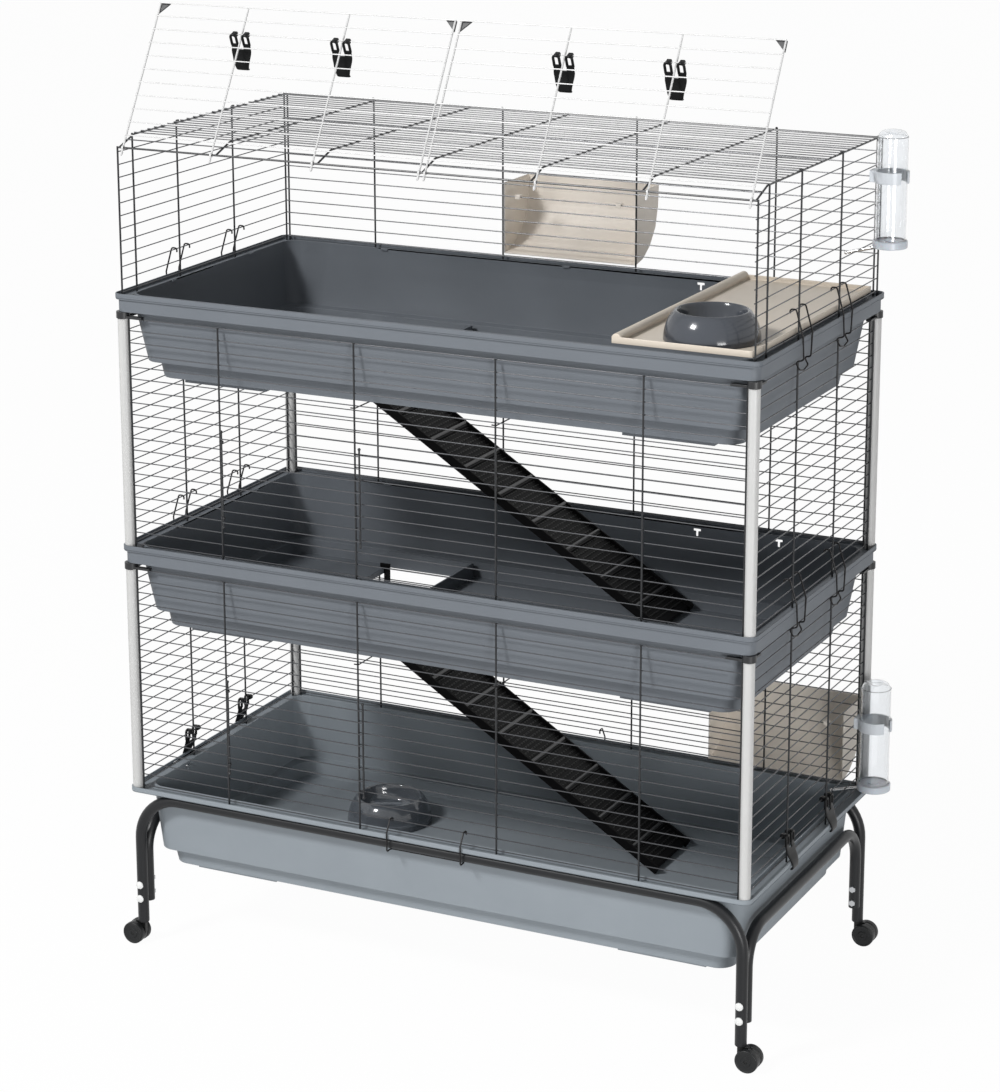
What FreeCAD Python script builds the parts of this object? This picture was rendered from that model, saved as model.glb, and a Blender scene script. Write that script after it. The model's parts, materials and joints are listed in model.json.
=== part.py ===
import FreeCAD, Part
import math
import os

import Sketcher

# Three-storey rabbit cage on a wheeled tube stand. Millimetres, +Z up, X along the cage, Y to the back.
# The origin is on the floor under the middle of the trays.

V = FreeCAD.Vector
Turn = FreeCAD.Rotation

SIZES = [
    ("tray_length", 1180.0, "length over the tray rims"),
    ("tray_depth", 585.0, "depth over the tray rims"),
    ("rim_height", 300.0, "top of the lowest rim above the floor"),
    ("level_pitch", 446.0, "from one tray rim to the next"),
    ("roof_rise", 265.0, "roof cross wires above the top rim"),
    ("rail_drop", 16.0, "front rail below the roof"),
    ("bevel_run", 46.0, "depth of the sloping front edge of the roof"),
    ("rim_inset", 13.0, "line of posts, panels and tubes in from the rim edge"),
    ("wire_thick", 3.4, "upright wires"),
    ("wire_thin", 2.0, "row wires"),
    ("bay_width", 260.0, "upright to upright on the long panels"),
    ("side_bay", 186.0, "upright to upright on the side panels"),
    ("top_rows_rise", 242.0, "top row of the upper panels above the rim"),
    ("lip_thick", 8.0, "tray rim"),
    ("rim_corner", 16.0, "corner radius of the rim"),
    ("skirt_inset", 4.0, "skirt under the rim of the upper trays"),
    ("skirt_drop", 32.0, "lower edge of the skirt below the rim"),
    ("wall_inset", 20.5, "upper tray walls in from the rim edge"),
    ("base_wall_inset", 25.0, "bottom tray wall in from the rim edge"),
    ("wall_draft", 14.0, "lean of the wall down to the ledge"),
    ("ledge_width", 15.0, "step in the wall"),
    ("lower_draft", 4.0, "lean of the wall under the ledge"),
    ("ledge_drop", 122.0, "ledge below the rim"),
    ("floor_drop", 152.0, "underside of the floor below the rim"),
    ("wall_corner", 30.0, "corner radius of the walls"),
    ("wall_thick", 3.0, "moulded wall of the trays"),
    ("foot_height", 8.0, "feet under the tray floors"),
    ("foot_length", 160.0, "feet, along the cage"),
    ("foot_inset", 100.0, "outer end of each foot in from the rim edge"),
    ("foot_margin", 66.0, "feet in from the front and back rim edges"),
    ("hole_inset", 245.0, "ramp hole in from the left rim edge"),
    ("hole_length", 175.0, "ramp hole along the cage"),
    ("hole_width", 165.0, "ramp hole across the cage"),
    ("hole_back", 147.5, "middle of the ramp hole in front of the back rim edge"),
    ("collar_height", 28.0, "collar round the ramp hole above the floor"),
    ("tab_length", 14.0, "snap tabs inside the rim"),
    ("tab_reach", 3.5, "snap tabs, out of the wall"),
    ("slot_size", 14.0, "T slots in the back wall"),
    ("slot_bar", 4.5, "bar and stem of a T slot"),
    ("slot_notch", 60.0, "notches of the skirt behind the T slots"),
    ("slot_first", 258.0, "first T slot from the middle"),
    ("slot_second", 413.0, "second T slot from the middle"),
    ("slot_left", 139.0, "T slot of the left wall, in front of the middle"),
    ("tube_size", 20.0, "stand tubes, outside"),
    ("tube_seat", 0.6, "long tubes below the edge of the rim"),
    ("leg_inset", 15.0, "legs in from the rim edge"),
    ("leg_end", 42.0, "lower end of the legs above the floor"),
    ("long_bend", 80.0, "bends of the long tubes, centre line"),
    ("short_bend", 60.0, "bends of the short tubes, centre line"),
    ("short_drop", 70.0, "short tubes below the rim"),
    ("short_end", 76.0, "lower end of the short tubes above the floor"),
    ("bolt_size", 6.0, "stand bolts"),
    ("bolt_high", 113.0, "upper stand bolts above the floor"),
    ("bolt_low", 87.0, "lower stand bolts above the floor"),
    ("bolt_cap", 14.0, "round caps of the bolts"),
    ("cap_height", 4.0, "round caps, thickness"),
    ("post_size", 19.0, "corner posts"),
    ("ring_size", 23.0, "post connectors, ring"),
    ("ring_height", 12.0, "post connectors, height"),
    ("arm_length", 39.0, "arms of the connectors"),
    ("arm_height", 4.0, "arms of the connectors"),
    ("door_length", 264.0, "top doors from the rail to the free edge"),
    ("door_first", 22.0, "first row of the top doors from the rail"),
    ("door_gap", 5.5, "half gap between the top doors"),
    ("door_side_gap", 11.0, "top doors short of the panel line"),
    ("door_lean", 30.0, "open top doors lean back, degrees"),
    ("eye_offset", 9.0, "door uprights beside the roof wires"),
    ("eye_length", 4.0, "wire eyes along their axis"),
    ("eye_play", 0.3, "play of a wire eye"),
    ("tail_length", 8.0, "door uprights past the rail"),
    ("corner_cap", 20.0, "corner caps of the top doors"),
    ("hatch_low", 52.0, "small door rods above the rim, lower end"),
    ("hatch_high", 226.0, "small door rods above the rim, upper end"),
    ("hatch_lap", 10.0, "small door past its closing upright"),
    ("hatch_play", 0.4, "small door off its closing upright"),
    ("clip_width", 36.0, "plastic clips"),
    ("clip_ear", 14.0, "ears of the plastic clips"),
    ("clip_window", 8.0, "windows in the ears"),
    ("clip_eye", 9.4, "ears of the plastic clips, outside"),
    ("clip_play", 1.2, "clip toe under the rim"),
    ("clip_hang", 22.2, "door clips hang off the plumb line, degrees"),
    ("spring_gauge", 2.2, "bent wire clips and stays"),
    ("spring_width", 24.0, "bent wire clips, leg to leg"),
    ("stay_width", 140.0, "stand stays, leg to leg"),
    ("wheel_size", 40.0, "caster wheels"),
    ("wheel_width", 12.0, "each caster wheel"),
    ("fork_width", 8.0, "caster body between its wheels"),
    ("caster_trail", 15.0, "wheel axle beside the swivel axis"),
    ("stem_size", 10.0, "caster stem"),
    ("stem_length", 26.0, "caster stem in the leg"),
    ("axle_size", 6.0, "caster axle"),
    ("running_play", 0.06, "play of stems and axles"),
    ("ramp_width", 144.0, "ramps, over the flanges"),
    ("ramp_run", 613.0, "ramps from the edge of the hole to the foot, along the cage"),
    ("ramp_slope", 32.5, "slope of the ramps, degrees"),
    ("flange_height", 16.0, "ramp flanges"),
    ("flange_thick", 4.0, "ramp flanges"),
    ("deck_thick", 4.0, "ramp deck"),
    ("rung_size", 6.0, "ramp rungs"),
    ("seat_play", 0.3, "loose pieces above their seats"),
    ("rack_width", 258.0, "hay racks"),
    ("rack_height", 129.0, "hay racks"),
    ("rack_reach", 100.0, "hay racks out of the panel"),
    ("rack_wall", 2.5, "hay rack wall"),
    ("rack_inset", 180.0, "middle of the lower hay rack in from the right rim edge"),
    ("shelf_length", 239.5, "shelf, along the cage"),
    ("shelf_thick", 3.0, "shelf plate"),
    ("shelf_rim", 11.0, "raised edge of the shelf"),
    ("bowl_base", 156.0, "bowl base"),
    ("bowl_mouth", 116.0, "bowl rim"),
    ("bowl_height", 48.0, "bowls"),
    ("bowl_wall", 3.0, "bowl wall"),
    ("bowl_end_gap", 24.5, "bowl on the shelf, off the right edge of the shelf"),
    ("bowl_front_gap", 6.0, "bowl on the shelf, off the front edge of the shelf"),
    ("bowl_inset", 313.0, "bowl on the floor in from the left rim edge"),
    ("bowl_back", 192.5, "bowl on the floor in front of the back rim edge"),
    ("bottle_size", 52.0, "bottles"),
    ("bottle_height", 185.0, "bottles above their caps"),
    ("bottle_wall", 2.0, "bottle wall"),
    ("bottle_out", 21.0, "bottle axis outside the rim edge"),
    ("bottle_back", 52.5, "bottle axis in front of the back rim edge"),
    ("bottle_low", 12.5, "lower bottle cap above its rim"),
    ("bottle_high", 87.0, "upper bottle cap above its rim"),
    ("cap_size", 60.0, "bottle caps"),
    ("cap_tall", 13.0, "bottle caps"),
    ("spout_size", 6.0, "spouts"),
    ("spout_reach", 84.0, "spouts, from the cap to the tip"),
    ("spout_slope", 15.0, "spouts fall towards the tip, degrees"),
    ("holder_height", 20.0, "bottle rings"),
    ("holder_wall", 3.0, "bottle rings"),
    ("holder_rise", 97.0, "bottle rings above the cap"),
]

STOREY_ROWS = 20
TOP_ROWS = 12
ROOF_ROWS = 24
DOOR_ROWS = 11
HATCH_ROWS = range(3, 11)
RUNGS = 9

os.makedirs("parts", exist_ok=True)
doc = FreeCAD.newDocument("rabbit_cage")
dims = doc.addObject("Spreadsheet::Sheet", "dims")
for line, (alias, value, note) in enumerate(SIZES, start=1):
    dims.set(f"A{line}", note)
    dims.set(f"B{line}", str(value))
    dims.setAlias(f"B{line}", alias)
doc.recompute()

nodes = []


def size(alias):
    """The number that a named size has in the sheet."""
    return float(getattr(dims, alias))


def bind(item, **expressions):
    """Tie properties of an object to the sheet."""
    for name, expression in expressions.items():
        item.setExpression(name, expression)
    return item


def place(item, x="0", y="0", z="0", turn=None):
    """Put an object where the three expressions say, turned by a fixed rotation."""
    if turn is not None:
        item.Placement = FreeCAD.Placement(V(), turn)
    for axis, expression in zip("xyz", (x, y, z)):
        if expression != "0":
            item.setExpression(f"Placement.Base.{axis}", expression)
    return item


def node(label, links, x="0", y="0", z="0", turn=None):
    """A named piece of the cage, gathered from one or more solids."""
    group = doc.addObject("Part::Compound", label)
    group.Label = label
    group.Links = list(links)
    place(group, x, y, z, turn)
    nodes.append(group)
    return group


def box(name, lx, ly, lz, x="0", y="0", z="0"):
    block = doc.addObject("Part::Box", name)
    bind(block, Length=lx, Width=ly, Height=lz)
    return place(block, x, y, z)


def rod(name, radius, height, x="0", y="0", z="0", turn=None):
    bar = doc.addObject("Part::Cylinder", name)
    bind(bar, Radius=radius, Height=height)
    return place(bar, x, y, z, turn)


def cut(name, base, tool):
    result = doc.addObject("Part::Cut", name)
    result.Base = base
    result.Tool = tool
    return result


def fuse(name, shapes):
    result = doc.addObject("Part::MultiFuse", name)
    result.Shapes = list(shapes)
    return result


def group(name, shapes):
    result = doc.addObject("Part::Compound", name)
    result.Links = list(shapes)
    return result


# A wire is a six-sided bar across whose flats its gauge is measured. Wires meet flat on flat.
ALONG = {
    "x": Turn(V(0, 1, 0), 90),
    "y": Turn(V(1, 0, 0), -90),
    "z": Turn(),
}
FLAT_UP = Turn(V(0, 1, 0), 90) * Turn(V(0, 0, 1), 30)


def wire(name, along, length, x, y, z, gauge="dims.wire_thin", turn=None):
    """A straight wire that starts at a point and runs along an axis."""
    bar = doc.addObject("Part::Prism", name)
    bar.Polygon = 6
    bind(bar, Circumradius=f"{gauge} / 2 / cos(30 deg)", Height=length)
    return place(bar, x, y, z, turn or ALONG[along])


def bent_wire(name, points, gauge):
    """A wire bent through points, with mitred corners."""
    first = (points[1] - points[0]).normalize()
    side = first.cross(V(0, 0, 1) if abs(first.z) < 0.9 else V(1, 0, 0)).normalize()
    up = first.cross(side)
    radius = gauge / 2 / math.cos(math.pi / 6)
    ring = [
        points[0] + side * radius * math.cos(k * math.pi / 3) + up * radius * math.sin(k * math.pi / 3)
        for k in range(7)
    ]
    path = Part.makePolygon(points)
    bar = doc.addObject("Part::Feature", name)
    bar.Shape = path.makePipeShell([Part.makePolygon(ring)], True, False, 1)
    return bar


def eye(name, along, shaft, x, y, z):
    """A wire eye, bent round a shaft with some play."""
    outer = rod(f"{name}_outer", f"{shaft} / 2 + dims.eye_play + dims.wire_thin", "dims.eye_length")
    inner = rod(f"{name}_inner", f"{shaft} / 2 + dims.eye_play", "dims.eye_length")
    return place(cut(name, outer, inner), x, y, z, ALONG[along])


def outline(name, points, plane="XZ"):
    """A closed sketch through points given as pairs of expressions."""
    sketch = doc.addObject("Sketcher::SketchObject", name)
    if plane == "XZ":
        sketch.Placement = FreeCAD.Placement(V(), Turn(V(1, 0, 0), 90))
    if plane == "YZ":
        sketch.Placement = FreeCAD.Placement(V(), Turn(V(1, 1, 1), 120))
    count = len(points)
    ring = [
        V(math.cos(2 * math.pi * k / count), math.sin(2 * math.pi * k / count), 0) * 50
        for k in range(count)
    ]
    for k in range(count):
        sketch.addGeometry(Part.LineSegment(ring[k], ring[(k + 1) % count]))
    for k in range(count):
        sketch.addConstraint(Sketcher.Constraint("Coincident", k, 2, (k + 1) % count, 1))
    for k, pair in enumerate(points):
        for kind, start, expression in zip(("DistanceX", "DistanceY"), (ring[k].x, ring[k].y), pair):
            index = sketch.addConstraint(Sketcher.Constraint(kind, -1, 1, k, 1, start))
            sketch.setExpression(f"Constraints[{index}]", expression)
    return sketch


def extrude(name, sketch, length, both=False):
    """The solid that a closed sketch sweeps along its normal."""
    solid = doc.addObject("Part::Extrusion", name)
    solid.Base = sketch
    solid.DirMode = "Normal"
    solid.Solid = True
    solid.Symmetric = both
    bind(solid, LengthFwd=length)
    return solid


def rounded(name, inset, corner, z):
    """The rim's rectangle drawn in by an inset, with rounded corners, at a height."""
    sketch = doc.addObject("Sketcher::SketchObject", name)
    a, b, r = 500.0, 250.0, 30.0
    corners = [(a - r, -b + r), (a - r, b - r), (-a + r, b - r), (-a + r, -b + r)]
    ends = [(-a + r, -b), (a - r, -b), (a, -b + r), (a, b - r)]
    ends += [(-x, -y) for x, y in ends]
    for k in range(4):
        sketch.addGeometry(Part.LineSegment(V(*ends[2 * k], 0), V(*ends[2 * k + 1], 0)))
        arc = Part.Circle(V(*corners[k], 0), V(0, 0, 1), r)
        sketch.addGeometry(Part.ArcOfCircle(arc, (k - 1) * math.pi / 2, k * math.pi / 2))
    for k in range(8):
        sketch.addConstraint(Sketcher.Constraint("Tangent", k, 2, (k + 1) % 8, 1))
    for k, kind in ((0, "Horizontal"), (2, "Vertical"), (4, "Horizontal"), (6, "Vertical")):
        sketch.addConstraint(Sketcher.Constraint(kind, k))
    for k in (3, 5, 7):
        sketch.addConstraint(Sketcher.Constraint("Equal", 1, k))
    half_x = f"dims.tray_length / 2 - ({inset})"
    half_y = f"dims.tray_depth / 2 - ({inset})"
    for constraint, expression in (
        (Sketcher.Constraint("DistanceX", -1, 1, 2, 1, a), half_x),
        (Sketcher.Constraint("DistanceX", 6, 1, -1, 1, a), half_x),
        (Sketcher.Constraint("DistanceY", -1, 1, 4, 1, b), half_y),
        (Sketcher.Constraint("DistanceY", 0, 1, -1, 1, b), half_y),
        (Sketcher.Constraint("Radius", 1, r), corner),
    ):
        index = sketch.addConstraint(constraint)
        sketch.setExpression(f"Constraints[{index}]", expression)
    return place(sketch, z=z)


def tub(name, levels):
    """A stepped tub through rounded rectangles, each given as inset, corner radius and height."""
    loft = doc.addObject("Part::Loft", name)
    loft.Sections = [rounded(f"{name}_{k}", *level) for k, level in enumerate(levels)]
    loft.Solid = True
    loft.Ruled = True
    return loft


HALF_X = "dims.tray_length / 2"
HALF_Y = "dims.tray_depth / 2"
LINE_X = "(dims.tray_length / 2 - dims.rim_inset)"
LINE_Y = "(dims.tray_depth / 2 - dims.rim_inset)"
RIM_LOW = "dims.rim_height"
RIM_MID = "(dims.rim_height + dims.level_pitch)"
RIM_TOP = "(dims.rim_height + 2 * dims.level_pitch)"
LAY = "(dims.wire_thick + dims.wire_thin) / 2"

# Trays: one stepped tub. Rim lip, skirt, leaning wall, ledge, lower wall, floor and two feet.
WALL_END = "dims.wall_draft"
LEDGE_END = "dims.wall_draft + dims.ledge_width"
FLOOR_END = "dims.wall_draft + dims.ledge_width + dims.lower_draft"
LOWER_OUTER = [
    (f"dims.wall_inset + {WALL_END}", "dims.wall_corner", "-dims.ledge_drop"),
    (f"dims.wall_inset + {LEDGE_END}", "dims.wall_corner", "-dims.ledge_drop - dims.wall_thick"),
    (f"dims.wall_inset + {FLOOR_END}", "dims.wall_corner", "-dims.floor_drop"),
]
INNER_CORNER = "dims.wall_corner - dims.wall_thick"
LOWER_INNER = [
    (f"dims.wall_inset + dims.wall_thick + {WALL_END}", INNER_CORNER, "-dims.ledge_drop + dims.wall_thick"),
    (f"dims.wall_inset + dims.wall_thick + {LEDGE_END}", INNER_CORNER, "-dims.ledge_drop"),
    (f"dims.wall_inset + dims.wall_thick + {FLOOR_END}", INNER_CORNER, "-dims.floor_drop + dims.wall_thick"),
]
LIP = [
    ("0", "dims.rim_corner", "0"),
    ("0", "dims.rim_corner", "-dims.lip_thick"),
]
upper_outer = tub("upper_outer", LIP + [
    ("dims.skirt_inset", "dims.rim_corner", "-dims.lip_thick - 1"),
    ("dims.skirt_inset", "dims.rim_corner", "-dims.skirt_drop"),
    ("dims.wall_inset", "dims.wall_corner", "-dims.skirt_drop + 2"),
] + LOWER_OUTER)
upper_inner = tub("upper_inner", [
    ("dims.wall_inset + dims.wall_thick", INNER_CORNER, "1"),
    ("dims.wall_inset + dims.wall_thick", INNER_CORNER, "-dims.skirt_drop + 2"),
] + LOWER_INNER)
base_outer = tub("base_outer", LIP + [
    ("dims.base_wall_inset", "dims.wall_corner", "-dims.lip_thick - 1"),
] + LOWER_OUTER)
base_inner = tub("base_inner", [
    ("dims.base_wall_inset + dims.wall_thick", INNER_CORNER, "1"),
] + LOWER_INNER)

feet = [
    box(f"tray_foot_{k}", "dims.foot_length", f"2 * ({HALF_Y} - dims.foot_margin)",
        "dims.foot_height + dims.wall_thick / 2",
        x, f"-({HALF_Y} - dims.foot_margin)", "-dims.floor_drop - dims.foot_height")
    for k, x in enumerate((f"{HALF_X} - dims.foot_inset - dims.foot_length", f"-{HALF_X} + dims.foot_inset"))
]


def snap_tabs(name, wall):
    """Small tabs on the inside of the rim, three on each long side and two on each short one."""
    tabs = []
    front, back = f"-{HALF_Y} + ({wall}) - 1", f"{HALF_Y} - ({wall}) + 1 - dims.tab_reach"
    left, right = f"-{HALF_X} + ({wall}) - 1", f"{HALF_X} - ({wall}) + 1 - dims.tab_reach"
    for k, share in enumerate(("-0.62", "0", "0.62")):
        for side, y in (("f", front), ("b", back)):
            tabs.append(box(f"{name}_{side}{k}", "dims.tab_length", "dims.tab_reach", "dims.wall_thick",
                            f"{HALF_X} * {share} - dims.tab_length / 2", y, "-dims.lip_thick"))
    for k, share in enumerate(("-0.45", "0.45")):
        for side, x in (("l", left), ("r", right)):
            tabs.append(box(f"{name}_{side}{k}", "dims.tab_reach", "dims.tab_length", "dims.wall_thick",
                            x, f"{HALF_Y} * {share} - dims.tab_length / 2", "-dims.lip_thick"))
    return tabs


HOLE_X = f"(-{HALF_X} + dims.hole_inset)"
HOLE_Y = f"{HALF_Y} - dims.hole_back - dims.hole_width / 2"
FLOOR_Z = "-dims.floor_drop + dims.wall_thick"
collar_outer = box(
    "collar_outer", "dims.hole_length + dims.wall_thick", "dims.hole_width + 2 * dims.wall_thick",
    "dims.collar_height + dims.wall_thick / 2",
    HOLE_X, f"{HOLE_Y} - dims.wall_thick", f"{FLOOR_Z} - dims.wall_thick / 2")
ramp_hole = box(
    "ramp_hole", "dims.hole_length", "dims.hole_width",
    "dims.foot_height + dims.collar_height + 2 * dims.wall_thick + 2",
    HOLE_X, HOLE_Y, "-dims.floor_drop - dims.foot_height - 1")


def t_slot(name, x):
    """A T-shaped slot in the back wall under the rim, with a notch in the skirt behind it."""
    reach = "dims.wall_inset + 2 * dims.wall_thick + 2"
    y = f"{HALF_Y} - dims.wall_inset - 2 * dims.wall_thick"
    top = "-dims.lip_thick - dims.wall_thick"
    return [
        box(f"{name}_bar", "dims.slot_size", reach, "dims.slot_bar",
            f"{x} - dims.slot_size / 2", y, f"{top} - dims.slot_bar"),
        box(f"{name}_stem", "dims.slot_bar", reach, "dims.slot_size",
            f"{x} - dims.slot_bar / 2", y, f"{top} - dims.slot_size"),
        box(f"{name}_notch", "dims.slot_notch", "2 * dims.skirt_inset + dims.wall_thick",
            "dims.skirt_drop - dims.lip_thick",
            f"{x} - dims.slot_notch / 2", f"{HALF_Y} - dims.skirt_inset - 2 * dims.wall_thick",
            "-dims.skirt_drop - dims.wall_thick / 2"),
    ]


def rim_channel():
    """The hollow of the rim, open below, between the skirt and the wall."""
    depth = "-dims.skirt_drop - 1"
    roof = "-1.3 * dims.wall_thick"
    skirt = "dims.skirt_inset + dims.wall_thick"
    room = tub("channel_room", [(skirt, "dims.rim_corner", roof), (skirt, "dims.rim_corner", depth)])
    wall = tub("channel_wall", [("dims.wall_inset", "dims.wall_corner", "0"),
                                ("dims.wall_inset", "dims.wall_corner", f"{depth} - 1")])
    return cut("rim_channel", room, wall)


upper_shell = cut("upper_shell", upper_outer, upper_inner)
upper_body = fuse("upper_body", [upper_shell, collar_outer] + feet
                  + snap_tabs("upper_tab", "dims.wall_inset + dims.wall_thick"))
upper_cuts = group("upper_cuts", [ramp_hole, rim_channel()] + t_slot("slot_a", "dims.slot_first")
                   + t_slot("slot_b", "dims.slot_second"))
for label, z in (("tray_middle", RIM_MID), ("tray_top", RIM_TOP)):
    tray = cut(label, upper_body, upper_cuts)
    place(tray, z=z)
    nodes.append(tray)

base_shell = cut("base_shell", base_outer, base_inner)
base_tabs = snap_tabs("base_tab", "dims.base_wall_inset + dims.wall_thick")
base_body = fuse("base_body", [base_shell] + feet + base_tabs)
left_reach = "dims.base_wall_inset + 2 * dims.wall_thick + 2"
left_slot = group("left_slot", [
    box("left_slot_bar", left_reach, "dims.slot_size", "dims.slot_bar",
        f"-{HALF_X} - 2", "-dims.slot_left - dims.slot_size / 2", "-dims.lip_thick / 2 - dims.slot_bar"),
    box("left_slot_stem", left_reach, "dims.slot_bar", "dims.slot_size",
        f"-{HALF_X} - 2", "-dims.slot_left - dims.slot_bar / 2", "-dims.lip_thick / 2 - dims.slot_size"),
])
tray = cut("tray_bottom", base_body, left_slot)
place(tray, z=RIM_LOW)
nodes.append(tray)

# Stand: two long and two short U tubes. The short ones stand behind the legs of the long ones.
LEG_X = f"({HALF_X} - dims.leg_inset)"
LONG_Z = "(dims.rim_height - dims.lip_thick - dims.tube_size / 2 - dims.tube_seat)"
SHORT_Z = "(dims.rim_height - dims.short_drop)"


def bent_tube(name, half, low, high, bend):
    """An upside-down U of round tube in the XZ plane, centred on X = 0."""
    legs = [
        rod(f"{name}_leg{k}", "dims.tube_size / 2", f"{high} - {bend} - {low}", f"{sign}({half})", "0", low)
        for k, sign in enumerate(("-", ""))
    ]
    top = rod(f"{name}_top", "dims.tube_size / 2", f"2 * ({half} - {bend})",
              f"-({half} - {bend})", "0", high, ALONG["x"])
    bends = []
    for k, (sign, start) in enumerate((("-", 90), ("", 0))):
        ring = doc.addObject("Part::Torus", f"{name}_bend{k}")
        ring.Angle3 = 90
        bind(ring, Radius1=bend, Radius2="dims.tube_size / 2")
        turn = Turn(V(1, 0, 0), 90) * Turn(V(0, 0, 1), start)
        bends.append(place(ring, f"{sign}({half} - {bend})", "0", f"{high} - {bend}", turn))
    return fuse(name, legs + [top] + bends)


BACK = Turn(V(1, 0, 0), 90)
bolt_spots = [(sign, z) for sign in ("-", "") for z in ("dims.bolt_high", "dims.bolt_low")]
long_tube = bent_tube("long_tube", LEG_X, "dims.leg_end", LONG_Z, "dims.long_bend")
long_holes = group("long_holes", [
    rod(f"long_hole{k}", "dims.bolt_size / 2 + dims.running_play", "2 * dims.tube_size",
        f"{sign}{LEG_X}", "dims.tube_size", z, BACK)
    for k, (sign, z) in enumerate(bolt_spots)
] + [
    rod(f"stem_hole{k}", "dims.stem_size / 2 + dims.running_play", "dims.stem_length + 2",
        f"{sign}{LEG_X}", "0", "dims.leg_end - 1")
    for k, sign in enumerate(("-", ""))
])
for label, y in (("stand_front_tube", f"-{LINE_Y}"), ("stand_rear_tube", LINE_Y)):
    tube = cut(label, long_tube, long_holes)
    place(tube, y=y)
    nodes.append(tube)

SHORT_HALF = f"({LINE_Y} - dims.tube_size)"
short_tube = bent_tube("short_tube", SHORT_HALF, "dims.short_end", SHORT_Z, "dims.short_bend")
short_holes = group("short_holes", [
    rod(f"short_hole{k}", "dims.bolt_size / 2 + dims.running_play", "dims.tube_size + 2",
        f"{sign}{SHORT_HALF} - dims.tube_size / 2 - 1", "0", z, ALONG["x"])
    for k, (sign, z) in enumerate(bolt_spots)
])
QUARTER = Turn(V(0, 0, 1), 90)
for label, x in (("stand_left_tube", f"-{LEG_X}"), ("stand_right_tube", LEG_X)):
    tube = cut(label, short_tube, short_holes)
    place(tube, x, turn=QUARTER)
    nodes.append(tube)

bolts = []
for end, (out, start) in enumerate((("-", Turn(V(1, 0, 0), -90)), ("", Turn(V(1, 0, 0), 90)))):
    face = f"{out}({LINE_Y} + dims.tube_size / 2"
    for k, (sign, z) in enumerate(bolt_spots):
        x = f"{sign}{LEG_X}"
        name = f"bolt_{end}{k}"
        head = rod(f"{name}_cap", "dims.bolt_cap / 2", "dims.cap_height",
                   x, f"{face} + dims.cap_height)", z, start)
        shank = rod(f"{name}_shank", "dims.bolt_size / 2", "2 * dims.tube_size + dims.cap_height",
                    x, f"{face})", z, start)
        nut = doc.addObject("Part::Prism", f"{name}_nut")
        nut.Polygon = 6
        bind(nut, Circumradius="dims.bolt_size", Height="dims.cap_height")
        place(nut, x, f"{face} - 2 * dims.tube_size)", z, start)
        bolts.append(fuse(name, [head, shank, nut]))
node("stand_bolts", bolts)

# Casters: stem and body that swivel in the leg, and a pair of wheels on a cross axle.
axle_z = "dims.wheel_size / 2"
stem = rod("caster_stem", "dims.stem_size / 2", "dims.stem_length + dims.leg_end - dims.wheel_size - 2",
           "0", "0", "dims.wheel_size + 2")
hood_base = rod("caster_hood_disc", "dims.wheel_size / 2 - 1", "dims.fork_width",
                "dims.caster_trail", "-dims.fork_width / 2", axle_z, ALONG["y"])
hood_neck = box("caster_neck", "dims.caster_trail + dims.stem_size / 2", "dims.fork_width",
                "dims.leg_end - dims.wheel_size / 2 - 0.4",
                "-dims.stem_size / 2", "-dims.fork_width / 2", axle_z)
axle = rod("caster_axle", "dims.axle_size / 2", "dims.fork_width + 2 * dims.wheel_width",
           "dims.caster_trail", "-dims.fork_width / 2 - dims.wheel_width", axle_z, ALONG["y"])
collar = rod("caster_collar", "dims.tube_size / 2 - 1", "dims.leg_end - dims.wheel_size - 0.8",
             "0", "0", "dims.wheel_size + 0.4")
caster = fuse("caster_fork_master", [stem, hood_base, hood_neck, axle, collar])
wheels = []
for k, y in enumerate(("dims.fork_width / 2 + 0.4", "-dims.fork_width / 2 - dims.wheel_width - 0.4")):
    tyre = rod(f"tyre{k}", "dims.wheel_size / 2", "dims.wheel_width",
               "dims.caster_trail", y, axle_z, ALONG["y"])
    bore = rod(f"tyre_bore{k}", "dims.axle_size / 2 + dims.running_play", "dims.wheel_width",
               "dims.caster_trail", y, axle_z, ALONG["y"])
    wheels.append(cut(f"wheel{k}", tyre, bore))
for label, sx, sy in (("front_left", "-", "-"), ("front_right", "", "-"), ("rear_left", "-", ""),
                      ("rear_right", "", "")):
    turn = Turn(V(0, 0, 1), 180 if sx else 0)
    node(f"caster_{label}", [caster], f"{sx}{LEG_X}", f"{sy}{LINE_Y}", "0", turn)
    node(f"wheels_{label}", wheels, f"{sx}{LEG_X}", f"{sy}{LINE_Y}", "0", turn)

# Corner posts of the two lower storeys and the connectors on top of them.
POST_TALL = "dims.level_pitch - dims.skirt_drop - dims.ring_height"
posts = []
connectors = []
for level, rim in enumerate((RIM_LOW, RIM_MID)):
    for k, (sx, sy) in enumerate((("-", "-"), ("", "-"), ("-", ""), ("", ""))):
        x, y = f"{sx}{LINE_X}", f"{sy}{LINE_Y}"
        posts.append(rod(f"post_{level}{k}", "dims.post_size / 2", POST_TALL, x, y, rim))
        top = f"{rim} + {POST_TALL}"
        ring = rod(f"ring_{level}{k}", "dims.ring_size / 2", "dims.ring_height", x, y, top)
        arm_x = box(f"arm_x_{level}{k}", "dims.arm_length", "dims.tube_size / 2", "dims.arm_height",
                    x if sx else f"{x} - dims.arm_length", f"{y} - dims.tube_size / 4", top)
        arm_y = box(f"arm_y_{level}{k}", "dims.tube_size / 2", "dims.arm_length", "dims.arm_height",
                    f"{x} - dims.tube_size / 4", y if sy else f"{y} - dims.arm_length", top)
        connectors.append(fuse(f"connector_{level}{k}", [ring, arm_x, arm_y]))
node("corner_posts", posts)
node("post_connectors", connectors)

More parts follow.
